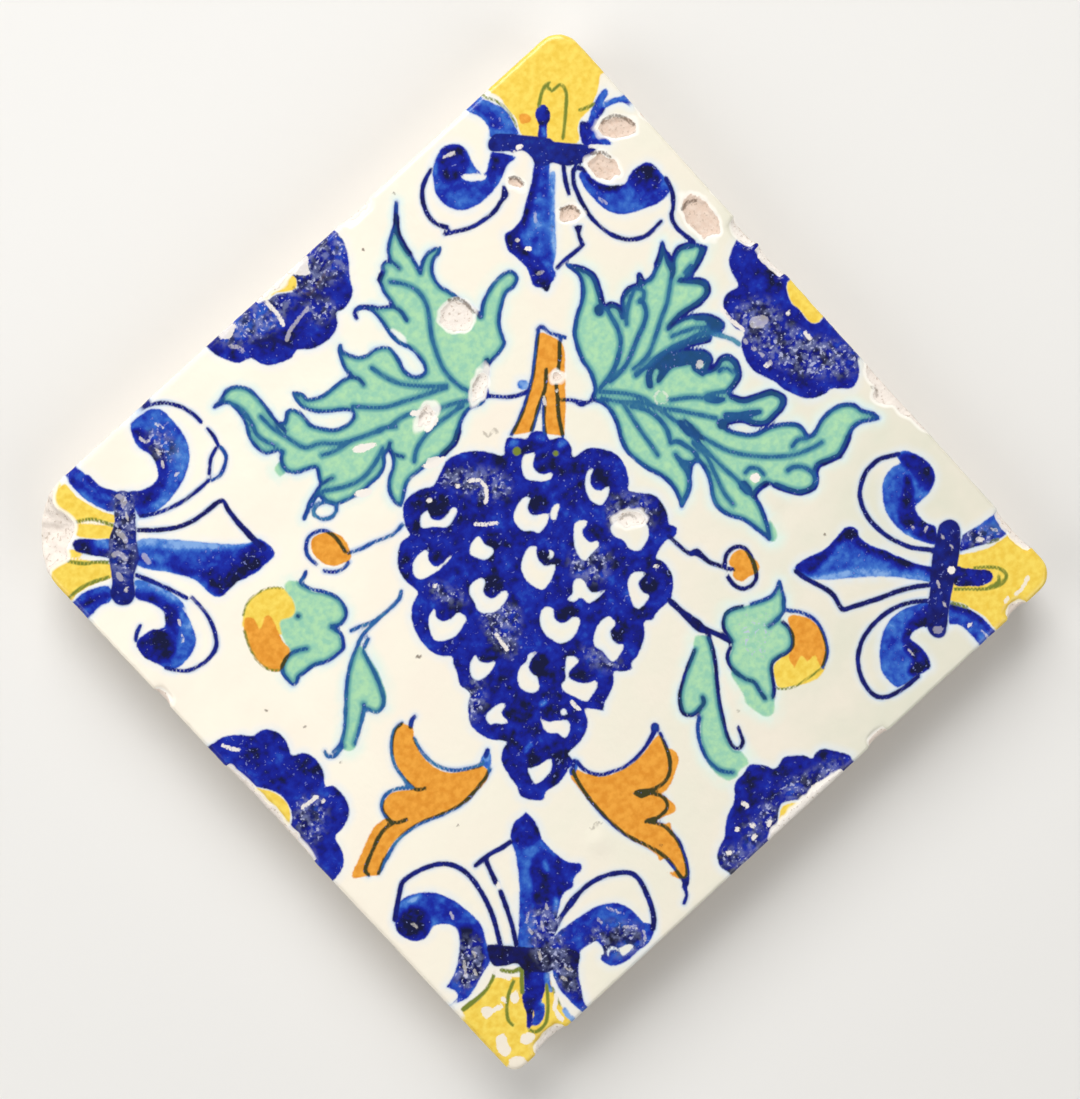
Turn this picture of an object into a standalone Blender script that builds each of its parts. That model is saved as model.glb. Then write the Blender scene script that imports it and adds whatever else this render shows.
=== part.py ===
"""Square tin-glazed earthenware wall tile with a broken corner, chipped edges and glaze flakes.

Metres, +Z up. The tile lies face up with the middle of its flat back at the origin, and its edges
run along X and Y. Its painting stands on one corner, so places on the face are given along the
diagonals: "right" is towards the corner at +X -Y, and "up" is towards the corner at +X +Y.
"""

import math

import bmesh
import bpy
from mathutils import Matrix, Vector, noise

# Driving dimensions of the pressed and trimmed slab
SIDE = 0.130
THICKNESS = 0.014
BACK_INSET = 0.0012
RIM_ROUND = 0.0009
RIM_STEPS = 3

# Corner radii on the face: three corners are only worn, the left one is broken away
TOP_CORNER = 0.0045
RIGHT_CORNER = 0.0040
BOTTOM_CORNER = 0.0025
BROKEN_CORNER = 0.0137
CORNER_STEPS = 6

# The rough spall on the face at the broken corner
SPALL_REACH = 0.0064
SPALL_HALF_WIDTH = 0.0060
SPALL_DEPTH = 0.0032
SPALL_SHARE_UP = -0.009
SPALL_ROUGHNESS = 0.0006
SPALL_GRAIN = 0.0017
SPALL_FINENESS = 4

# Shell-shaped chips in the face's rim: edge, place, length, inset and depth
# The place is a share of the half side, counted anticlockwise from the edge's middle.
EDGE_CHIPS = (
    ("east", 0.262, 0.0062, 0.0013, 0.0024),
    ("east", 0.155, 0.0070, 0.0009, 0.0018),
    ("east", -0.826, 0.0092, 0.0009, 0.0020),
    ("south", 0.854, 0.0044, 0.0010, 0.0018),
    ("south", 0.341, 0.0046, 0.0009, 0.0015),
    ("south", 0.075, 0.0180, 0.0016, 0.0022),
    ("south", -0.862, 0.0072, 0.0011, 0.0024),
    ("west", -0.392, 0.0040, 0.0008, 0.0015),
    ("west", 0.030, 0.0230, 0.0008, 0.0014),
    ("north", 0.022, 0.0105, 0.0009, 0.0016),
    ("north", -0.262, 0.0064, 0.0008, 0.0014),
)
CHIP_SIDES = 14
CHIP_RINGS = 8
CHIP_ROUGHNESS = 0.00008
CHIP_GRAIN = 0.0012

# Glaze flakes: place right and up, half length, half width and turn in degrees
# The places are shares of the half diagonal.
FLAKES = (
    (0.115, 0.809, 0.0032, 0.0019, 8.0),
    (0.093, 0.734, 0.0028, 0.0021, -25.0),
    (-0.071, 0.696, 0.0013, 0.0009, -35.0),
    (0.034, 0.642, 0.0018, 0.0014, 0.0),
    (0.283, 0.637, 0.0033, 0.0024, -52.0),
    (-0.170, 0.440, 0.0029, 0.0027, 0.0),
    (-0.122, 0.312, 0.0026, 0.0011, 75.0),
    (0.022, 0.335, 0.0009, 0.0008, 0.0),
    (-0.221, 0.249, 0.0022, 0.0012, 60.0),
    (0.174, 0.070, 0.0028, 0.0017, 10.0),
)
FLAKE_DEPTH = 0.0005
FLAKE_WALL_SLOPE = 0.0003
FLAKE_SIDES = 20

CUT_CLEAR = 0.002
WELD_DISTANCE = 0.000005
GRAIN_START = Vector((3.1, 7.7, 1.3))
CREAM_GLAZE = (0.87, 0.82, 0.70, 1.0)

# The way out of the tile across each edge
EDGE_DIRECTIONS = {
    "east": Vector((1.0, 0.0, 0.0)),
    "south": Vector((0.0, -1.0, 0.0)),
    "west": Vector((-1.0, 0.0, 0.0)),
    "north": Vector((0.0, 1.0, 0.0)),
}

# Unit vectors along the diagonals
RIGHTWARD = Vector((1.0, -1.0, 0.0)).normalized()
UPWARD = Vector((1.0, 1.0, 0.0)).normalized()


def clear_scene():
    """Remove every object that the file holds."""
    for obj in list(bpy.data.objects):
        bpy.data.objects.remove(obj, do_unlink=True)


def new_collection(name):
    """Make a collection in the scene."""
    made = bpy.data.collections.new(name)
    bpy.context.scene.collection.children.link(made)
    return made


def new_object(name, shape, collection):
    """Turn a bmesh into a named object and free the bmesh."""
    mesh = bpy.data.meshes.new(name)
    shape.to_mesh(mesh)
    shape.free()
    obj = bpy.data.objects.new(name, mesh)
    collection.objects.link(obj)
    return obj


def glaze_material():
    """White tin glaze over earthenware, cream from age."""
    material = bpy.data.materials.new("tin_glazed_earthenware")
    material.use_nodes = True
    shader = material.node_tree.nodes["Principled BSDF"]
    shader.inputs["Base Color"].default_value = CREAM_GLAZE
    shader.inputs["Roughness"].default_value = 0.25
    shader.inputs["Metallic"].default_value = 0.0
    return material


def half_diagonal():
    """Distance from the face's middle to a sharp corner."""
    return SIDE / math.sqrt(2)


def upright_edge(shape, direction):
    """The slab's upright edge that lies furthest in a direction."""
    uprights = [
        edge
        for edge in shape.edges
        if abs(edge.verts[0].co.z - edge.verts[1].co.z) > THICKNESS / 2
    ]
    return max(uprights, key=lambda edge: (edge.verts[0].co + edge.verts[1].co).dot(direction))


def slab(collection):
    """The trimmed slab: a smaller back, rounded corners and a softened face rim."""
    shape = bmesh.new()
    bmesh.ops.create_cube(shape, size=1.0)
    back_side = SIDE - 2 * BACK_INSET
    for vert in shape.verts:
        side = SIDE if vert.co.z > 0 else back_side
        vert.co.x *= side
        vert.co.y *= side
        vert.co.z = THICKNESS if vert.co.z > 0 else 0.0
    corners = (
        (UPWARD, TOP_CORNER),
        (RIGHTWARD, RIGHT_CORNER),
        (-UPWARD, BOTTOM_CORNER),
        (-RIGHTWARD, BROKEN_CORNER),
    )
    for direction, radius in corners:
        bmesh.ops.bevel(
            shape,
            geom=[upright_edge(shape, direction)],
            offset=radius,
            offset_type="OFFSET",
            segments=CORNER_STEPS,
            profile=0.5,
            affect="EDGES",
        )
    rim = [
        edge
        for edge in shape.edges
        if all(abs(vert.co.z - THICKNESS) < 1e-6 for vert in edge.verts)
    ]
    bmesh.ops.bevel(
        shape,
        geom=rim,
        offset=RIM_ROUND,
        offset_type="OFFSET",
        segments=RIM_STEPS,
        profile=0.5,
        affect="EDGES",
    )
    return new_object("tile", shape, collection)


def roughen(shape, roughness, grain):
    """Push each vertex in or out along its own direction from the middle."""
    for vert in shape.verts:
        swell = noise.noise(vert.co / grain + GRAIN_START)
        vert.co += vert.co.normalized() * roughness * swell


def spall_cutter(collection):
    """A rough flattened ball centred beside the broken corner's tip."""
    shape = bmesh.new()
    bmesh.ops.create_icosphere(shape, subdivisions=SPALL_FINENESS, radius=1.0)
    shape.transform(Matrix.Diagonal((SPALL_REACH, SPALL_HALF_WIDTH, SPALL_DEPTH, 1.0)))
    roughen(shape, SPALL_ROUGHNESS, SPALL_GRAIN)
    tip = half_diagonal() - BROKEN_CORNER * (math.sqrt(2) - 1)
    place = -RIGHTWARD * tip + UPWARD * SPALL_SHARE_UP * half_diagonal()
    place.z = THICKNESS
    turn = Matrix.Rotation(math.atan2(-RIGHTWARD.y, -RIGHTWARD.x), 4, "Z")
    shape.transform(Matrix.Translation(place) @ turn)
    return new_object("corner_spall_cutter", shape, collection)


def edge_chip_cutter(name, edge, share, length, inset, depth, collection):
    """A flattened ball centred on the face's rim, which bites a shell-shaped chip."""
    outward = EDGE_DIRECTIONS[edge]
    along = Vector((0.0, 0.0, 1.0)).cross(outward)
    shape = bmesh.new()
    bmesh.ops.create_uvsphere(shape, u_segments=CHIP_SIDES, v_segments=CHIP_RINGS, radius=1.0)
    shape.transform(Matrix.Diagonal((inset, length / 2, depth, 1.0)))
    roughen(shape, CHIP_ROUGHNESS, CHIP_GRAIN)
    place = (outward + along * share) * SIDE / 2
    place.z = THICKNESS
    turn = Matrix.Rotation(math.atan2(outward.y, outward.x), 4, "Z")
    shape.transform(Matrix.Translation(place) @ turn)
    return new_object(name, shape, collection)


def flake_cutter(name, right, up, half_length, half_width, degrees, collection):
    """A shallow oval plug with a sloping wall, which lifts one flake of glaze."""
    height = FLAKE_DEPTH + CUT_CLEAR
    shape = bmesh.new()
    bmesh.ops.create_cone(
        shape,
        cap_ends=True,
        segments=FLAKE_SIDES,
        radius1=1.0,
        radius2=1.0,
        depth=height,
    )
    spread = FLAKE_WALL_SLOPE * height / FLAKE_DEPTH
    for vert in shape.verts:
        wider = spread if vert.co.z > 0 else 0.0
        vert.co.x *= half_length + wider
        vert.co.y *= half_width + wider
    place = (RIGHTWARD * right + UPWARD * up) * half_diagonal()
    place.z = THICKNESS - FLAKE_DEPTH + height / 2
    angle = math.radians(degrees) + math.atan2(RIGHTWARD.y, RIGHTWARD.x)
    shape.transform(Matrix.Translation(place) @ Matrix.Rotation(angle, 4, "Z"))
    return new_object(name, shape, collection)


def cut(tile, cutters):
    """Take every cutter's shape out of the tile at once and close the hair-thin slivers left."""
    for cutter in cutters.objects:
        cutter.hide_render = True
        cutter.display_type = "WIRE"
    boolean = tile.modifiers.new("chips and flakes", "BOOLEAN")
    boolean.operation = "DIFFERENCE"
    boolean.solver = "EXACT"
    boolean.operand_type = "COLLECTION"
    boolean.collection = cutters
    weld = tile.modifiers.new("weld slivers", "WELD")
    weld.merge_threshold = WELD_DISTANCE


def main():
    """Build the tile."""
    clear_scene()
    parts = new_collection("decorative_tile")
    cutters = new_collection("cutters")
    tile = slab(parts)
    tile.data.materials.append(glaze_material())
    spall_cutter(cutters)
    for number, (edge, share, length, inset, depth) in enumerate(EDGE_CHIPS, start=1):
        name = f"{edge}_chip_cutter_{number}"
        edge_chip_cutter(name, edge, share, length, inset, depth, cutters)
    for number, (right, up, half_length, half_width, degrees) in enumerate(FLAKES, start=1):
        name = f"flake_cutter_{number}"
        flake_cutter(name, right, up, half_length, half_width, degrees, cutters)
    cut(tile, cutters)


main()
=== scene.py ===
"""Visual of a tin-glazed wall tile, painted with grapes, vine leaves, lilies and rosettes.

The tile lies face up with the middle of its back at the origin. Its painting stands on one corner,
so places on the face are given in millimetres along the diagonals: u to the right and v up.
"""

import logging
import math
from collections.abc import Iterator
from dataclasses import dataclass, field
from enum import Enum

import bpy
import numpy as np
from mathutils import Matrix, Vector, noise


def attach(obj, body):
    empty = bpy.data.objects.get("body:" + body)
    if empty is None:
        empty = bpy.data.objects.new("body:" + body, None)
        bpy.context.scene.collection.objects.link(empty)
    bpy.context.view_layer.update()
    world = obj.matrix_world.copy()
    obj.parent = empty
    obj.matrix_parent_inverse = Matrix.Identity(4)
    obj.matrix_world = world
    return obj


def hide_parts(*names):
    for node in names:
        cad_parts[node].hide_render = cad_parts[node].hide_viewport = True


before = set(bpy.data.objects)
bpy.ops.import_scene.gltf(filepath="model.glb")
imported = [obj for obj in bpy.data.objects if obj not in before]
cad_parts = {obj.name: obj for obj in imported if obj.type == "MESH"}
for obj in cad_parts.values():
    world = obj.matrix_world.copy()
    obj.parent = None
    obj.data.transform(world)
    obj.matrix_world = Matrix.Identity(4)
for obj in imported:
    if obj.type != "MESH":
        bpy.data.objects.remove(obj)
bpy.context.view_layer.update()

LOG = logging.getLogger("tile")
MM = 0.001
ROOT2 = math.sqrt(2.0)

# Layout of the UV square: the face, a strip for each side, and the back beside them
UV_MARGIN = 0.005
UV_FACE = 0.82
UV_BESIDE = 0.835
UV_STRIP_STEP = 0.041
UV_STRIP = 0.036
UV_BACK = 0.16


class Layer(Enum):
    """The pigments and marks, each kept as a distance field on the face."""

    BLUE = "blue"
    INK = "ink"
    GREEN = "green"
    YELLOW = "yellow"
    ORANGE = "orange"
    OLIVE = "olive"
    # White scuffs, and painted highlights on relief
    SCUFF = "scuff"
    # Painted shade on the walls of flakes and on relief, and a few dark dots
    DIRT = "dirt"
    WORN = "worn"
    FLAKE = "flake"


TONES = ("blue_tone", "ink_tone", "scuff_tone", "dirt_tone", "flake_tone")
Sockets = dict[str, bpy.types.NodeSocket]
Coat = tuple[object, object]


@dataclass(frozen=True)
class Touch:
    """One touch of the brush: a filled shape, or a line where it has a width.

    Attributes:
        layer: The pigment.
        path: Points "u,v" or "u,v,width" in millimetres; "!" after a point makes it a corner.
        width: Width of a line in millimetres, 0 for a filled shape.
        tone: How strong the pigment is, from 0 for pale to 1 for deep and above for blackish.
        bare: True where the touch leaves the pigment out instead of adding it.
    """

    layer: Layer
    path: str
    width: float = 0.0
    tone: float = 1.0
    bare: bool = False


@dataclass(frozen=True)
class Painting:
    """The painted pattern, motif by motif, read off the face in millimetres.

    A heading gives the pigment and its tone, and for lines their width, or says bare where the
    pigment is left out. Each row under it is the path of one touch. The row "round" is a line
    round the filled shape above it.
    """

    # The lily at the top corner
    top_lily: str = """
    YELLOW 1
    -13,80.6 -10,78.5 -8.5,76.5 -7,75 -6.3,73 -5,71.5 3.6,71.2 3.8,74 4.2,75.4! 6,77.6! 7,80.5 7.3,83 8,86 \
      0,94 -9,86
    BLUE .45
    -15.9,76 -14.5,77 -13,78 -11,77.4 -9,76.5 -7.8,75 -7,73.6 -6.6,72 -11.2,71.4 -11.5,73 -12.5,74.3 -14,75.3
    BLUE .85
    -14.4,76.6 -12.4,77.2 -10,75.6 -9,73.4 -10.6,73 -12.4,74.8
    BLUE 1.1
    4.2,75.1 6,75 7,76.5 7.8,78 8.4,77.2 7.4,75.8 7,74.5 7.5,73 8.5,72 9.5,71.5 7,71.2 5,71 4.2,73
    BLUE .55
    5.6,75 6.2,77.6 7,79.6 8.2,80.9 8.8,80.2 8,78.4 7.6,76.4 6.8,75
    6.6,74.6 7.6,73.4 9.4,72 9.8,71.4 7.8,71.4 6.4,72.6
    BLUE .4 .9
    8.4,78 10,79 11.6,79.2 12.8,78.6
    ORANGE .9
    -6.4,75.6 -4.8,75.8 -4.4,74.6 -6,74.2
    BLUE .55
    -3.2,68 -3.7,65 -4.2,62.5 -4.8,60 -5.3,57.8 -6,56.6 -6.8,55.8 -8,55 -7.8,53.5 -7.2,52 -5.5,50.8 -3.8,49 \
      -3.2,47.5 -2.5,46.2 -1.3,46 -.3,45.4 0,46.3 .8,47.5 1.2,48.6 .6,49.8 .8,51 .8,53 .4,56 .2,60 -.3,63 \
      -.8,65 -1,68
    BLUE 1.05
    -3.2,68 -3.7,65 -4.2,62.5 -4.8,60 -5.3,57.8 -6,56.6 -6.8,55.8 -8,55 -7.8,53.5 -7.2,52 -5.5,50.8 -3.8,49 \
      -3.2,47.5 -2.5,46.2 -1.3,46 -.3,45.4 .2,46.6 -.4,49 -2,51 -4.4,53 -5.4,55 -4,58 -3,62 -2.4,66 -2,68
    BLUE .1
    .2,66 .4,60 1,53 .6,50.6 .2,53 -.3,58 -.6,63 -.6,66
    BLUE .6
    -6.8,68.4 -8,67 -8.6,65.5 -9.5,63.5 -11,61.5 -13,59.8 -15,58.8 -17,58.8 -19,59.8 -20.3,61.5 -20.8,63.5 \
      -21,65.5 -20.5,67.5 -19.5,69.2 -18,70 -16.5,70 -15.2,69 -14.3,67.3 -13.2,65.8 -12,65.2 -11.5,66.2 \
      -11.2,68 -10.8,69
    BLUE 1.1
    -20,66.6 -19.4,69 -17,69.6 -15.4,68.6 -14.8,66.4 -16,64.2 -18.4,63.6 -20,64.6
    BLUE 1
    -10.8,68.8 -10.9,66.6 -11.4,65 -10.6,63.6 -9.2,65 -7.8,68.4
    BLUE bare
    -16,64.8 -13.5,65.1 -11.7,64.9 -12,64.2 -14,63.8 -15.5,64
    BLUE .6
    4.4,66 5.5,66.8 6.5,65.6 8,64.6 10,64.3 12.3,64.6 13,66 14.2,67.6 16,68.6 17.6,68 19,66.5 20,65 \
      20.3,63.6 18.5,61.8 16.5,60.8 14.5,60 12,59.4 9.5,60 7.5,61.5 6,63 4.9,64.5
    BLUE 1.05
    13,65.4 14.4,67.4 16.2,68.2 18,67 18.6,65 16.8,63.4 14.2,63.6
    BLUE 1.2
    5,66.6 6.5,65.4 8,64.5 10,64.3 12.4,64.6 11,63.4 8.6,63.2 6.6,64.4
    INK .85
    -11.6,71 -10.5,72.2 -8.5,72.4 -5,72.2 -1,72 0,71.4 4.5,71.2 6.5,70.8 8,70.1 9,69.5 7,69.6 6,68.8 5.2,68 \
      4,67.6 2,67.2 -.3,67.6 -1.4,67 -3.2,67 -4,68.3 -5,69.2 -6,69.4 -7.2,69 -8,69.2 -10.5,69 -11.6,69.6
    BLUE 1
    -3.7,76 -3,77.4 -2,77.5 -1.2,76.6 -1,75 -1.6,74 -1.4,71.6 -3,71.6 -3,74
    BLUE .2 .9
    -2.1,73.4 -2,72.6
    INK 1
    3.8,57 5.4,57.2 5.2,55.6 5.9,54.2 5.4,53.4 4.6,54.6 4.3,55.8
    -8.8,63.6 -7.5,61.8 -8.9,60.4
    INK .95 .95
    5.6,53.8 4.2,52.4 2.6,51 1.3,49.6
    -8.9,60.6 -10,58.8 -11.8,57.2 -14,55.8 -16.5,55 -18.4,54.5
    -18,55.6 -20,56.2 -21.5,57.7 -22.4,59.8 -22.6,62 -22,64 -21.2,65.5,.7
    1.6,67.3 1.8,66 2.3,64 2.8,62.4,.8
    5.4,66.6 4.5,67 3.4,66.7 3.5,64.5 4.2,62.8 5.3,60.8 7,58.4 9,56.7 11,55.6 13.5,55.1 16,55.6 17.3,56.6 \
      18.2,57.6,.8 19,58.5,.6
    19.5,66 20.6,64 21,61.5 20.8,59.5 21.6,57.8 23,56.5 24.8,55.4
    OLIVE 1 .75
    -3.1,77.3 -2.8,79.3 -2.2,80.8 -1.5,81.4
    -1.8,80.6 -1,80.1 -.3,80.6 .4,81.2 1.1,80.8 1.6,79.4 1.6,77 1.5,74.5 1.3,72
    4,77 5,77.4 5.8,77.8 6.4,78.2
    OLIVE .5 .6
    -12.5,78.3 -11,78 -9.3,77 -7.8,75.4 -6.8,73.6
    SCUFF 1 .8
    -4.2,52.7 -3.6,52.7
    -6.4,70 -5.9,70.2
    7.2,74.2 7.6,75
    SCUFF .7 .6
    -5.9,54 -5.6,54.1
    -7,69.2 -5.6,68.7
    6,70.9 9,70.7
    -19.2,67.6 -17.5,68.5
    SCUFF .35 .5
    -3,59 -2.8,57.4
    8,62 9.4,61.2
    -2,48.4 -1.2,48.8
    """

    # The lily at the left corner, beside the break
    left_lily: str = """
    YELLOW 1
    -82.6,8 -81.4,8.2 -79.8,6.4 -77.8,5.2 -75.4,4 -73,3.2 -73,2 -77,2.4 -80.2,1.8 -82.2,2.4 -84.4,5.2
    -79.8,1.6 -73.4,1.4 -73.2,-.4 -75.4,-.8 -79,-.6 -80.2,.4
    -81,-3 -78.6,-3 -78.6,-4 -80.8,-4.2
    -81.2,-4.8 -79,-4.6 -73.2,-5.2 -73,-7.2 -75.8,-8.4 -77.8,-9.6 -79.4,-10.8 -79.8,-12.2 -81.6,-11.6 \
      -83.6,-9 -84,-6
    BLUE .5
    -70.8,17.6 -71,19.2 -69.4,20.8 -67.4,22 -65.4,21.6 -63.4,19.6 -61.8,17.6 -60.8,15.2 -60.8,12.8 -61.6,10 \
      -63,7.6 -64.6,5.6 -67,3.6 -68.8,3.2 -70,5 -71,7.4 -69,7.8 -67,8.8 -66,10.4 -66.4,12.4 -67.4,14 \
      -69.4,15.2
    BLUE 1
    -70.8,17.6 -69,15.6 -67.4,14 -66.4,12.4 -66,10.4 -67,8.8 -69,7.8 -71,7.4 -70.6,5.2 -68.4,5 -66,6.6 \
      -64.6,9 -64.4,12 -65.4,15 -67.6,17.4 -69.6,18.6
    BLUE .4
    -62.4,18 -61.2,15.6 -61.1,12.8 -61.9,10.4 -63,8.4 -62.8,12 -63.2,15.4
    -70.4,19.4 -68.6,21 -66.6,21.2 -68,20 -69.4,18.8
    BLUE .5
    -81,10 -79.8,11 -78.6,10.4 -77,8.8 -74.6,7.8 -72.6,7.2 -73,5.2 -73.4,4 -75.4,4.4 -77.8,5.6 -79.8,7.2 \
      -81.2,8.8
    -79.2,-11.6 -78.2,-10.4 -76.2,-9.4 -73.8,-8.8 -73,-10.4 -73.4,-11.6 -75,-12.4 -76.2,-13.8 -76.8,-14.2 \
      -78.2,-13.6 -79.2,-12.8
    BLUE .95 1.1
    -80.6,9 -78.8,7.9 -76.6,6.4 -74,5.2
    -78,9.6 -76,7.8 -73.4,7
    -78.6,-13 -76.8,-11.6 -74,-10.6
    INK .85
    -73.2,7.2 -71,7.6 -69.8,6 -69.4,2 -69,-2 -68.6,-4 -69.4,-7.2 -69,-10.4 -70.2,-12 -72.2,-12 -73.4,-10.4 \
      -73.2,-8 -73.8,-4.4 -74,-1.2 -73.2,2
    SCUFF .35 .9
    -72.6,6.7 -71.6,6.1 -71.8,5.2
    -72.4,.5 -71.6,-.2 -71,-1
    -73,-3.4 -72,-3.2 -71,-4
    -72.2,-6.8 -71.6,-7.6
    -67.8,-3.4 -67,-4.4
    SCUFF .6 .45
    -69.4,17 -68.4,16.2 -67.6,16.6
    -66.4,15 -65.8,14.2
    -65.4,13 -65.2,12
    -63,10.6 -62.6,11.2
    -66.6,19.4 -65.4,18.8
    -71.2,3.8 -70.8,2.8
    -70.4,-9 -70.8,-9.6
    -61.6,-14 -61.2,-15
    -60.8,-16.6 -60.6,-18
    BLUE 1
    -80.2,-1.6 -79,-1 -75.8,-1 -75,-2 -73.2,-2.8 -73.2,-4 -77.4,-3.6 -79.4,-3.2
    BLUE .3
    -76.4,-1.2 -73.6,-.8 -73.4,-2.4 -75.4,-2.4
    OLIVE .8 .75
    -81,1.4 -79,2.1 -77,2.5 -75,2.1 -73.4,1.6
    -81,-4.8 -78.2,-5.2 -75.8,-4.8 -73.8,-4.8
    OLIVE .4 .8
    -79.8,-10.6 -77.4,-8.8 -73.8,-7.4
    BLUE .55
    -68.8,-8.6 -66.2,-8.8 -63.4,-10 -61,-12 -59.4,-14.4 -58.4,-17.2 -58.8,-19.6 -60.2,-21.6 -61.8,-22.8 \
      -63.4,-22.6 -64.8,-22 -66.3,-21.4 -67.8,-20.2 -68.6,-18.6 -67.8,-17.4 -66.3,-16.3 -64.8,-15.9 \
      -63.8,-15.4 -63.7,-13.6 -64.2,-12.8 -66.2,-11.6 -69,-10.8
    BLUE 1
    -69,-10.8 -66.2,-11.4 -64.2,-12.8 -63.6,-15 -62,-17 -61,-15.6 -61.4,-13.6 -63,-11.6 -66,-10.2 -69,-9.8
    BLUE .1
    -69,-7.6 -66,-8 -63.4,-9.2 -61,-11.2 -60.4,-12.6 -62.6,-11 -65.6,-9.4 -69,-8.8
    BLUE 1.15
    -68.6,-18.7 -67.8,-20.2 -66.3,-21.4 -64.5,-22 -63,-21.4 -61.8,-19.6 -62.1,-17.5 -63.6,-16.3 -65.7,-16 \
      -67.5,-17.2
    INK .8 .9
    -68.7,-18.1 -68.6,-16.9 -68,-15.5,.6
    INK .85 .8
    -70,21.4,.5 -68.4,22.4,.5 -66.4,23,.6 -64.8,23.1,.6 -62.4,22.5,.6 -60.4,21.4,.6 -59,20.1,.55
    -57.8,19,.6 -56.6,17.6 -55.9,16.2,.8
    -56.2,15.8,.55 -57,14 -57.2,12 -57.2,11.2,.55
    -57.2,10.2,.9 -59,8.4 -61.4,6.4 -63.8,5 -66.4,3.9 -68.8,3.4
    -69,-6.8,1 -66.2,-7.8,1 -63,-9.1,.9 -60.2,-10.4,.7
    -59.4,-10.2,.7 -57.4,-12.2 -55.8,-14.6,.9 -54.9,-17.2,1 -55,-19,1 -56.1,-20.8 -57.6,-22 -59.4,-22.9 \
      -61.2,-23 -63.3,-22.6
    INK .55 .6
    -55.4,15.8 -54.5,14.5 -54.7,12.6 -55.4,11 -56.8,10.1
    INK 1 1
    -69,1 -66.2,1.1 -63,1.6 -60.2,2.7 -57.6,4.6 -55.5,6.4 -54.6,6.6 -53.7,5.1 -52.2,3.3,1.1 -50.1,1.2,1.2 \
      -48.9,0,1.3 -47.4,-1.2,1.3
    BLUE .12
    -69,-.8 -64,-.4 -58,-.6 -53,-.8 -50,-.4 -48,.4 -45.4,-2.1 -47.1,-4.2 -48.9,-5.7 -51,-6.3 -52.5,-7.8 \
      -54.3,-9.8 -56.1,-9.6 -59,-7.2 -63,-6.2 -69,-5
    BLUE .65
    -69,-2 -62,-2.2 -56,-1.8 -52,-1.4 -48,-.4 -45.6,-2.2 -48.9,-5.7 -52.5,-7.8 -54.3,-9.8 -56.1,-9.6 \
      -59,-7.2 -63,-6.2 -69,-5
    BLUE 1.1
    -69,-4 -63,-5.2 -58,-6.6 -56,-8.6 -54.3,-9.8 -52.4,-8 -50.6,-6.2 -48.4,-5 -45.4,-2.1 -48,.2 -50.4,-1.2 \
      -53,-3.8 -55.4,-4.6 -57,-5.6 -63,-5 -69,-3.6
    """

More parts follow.
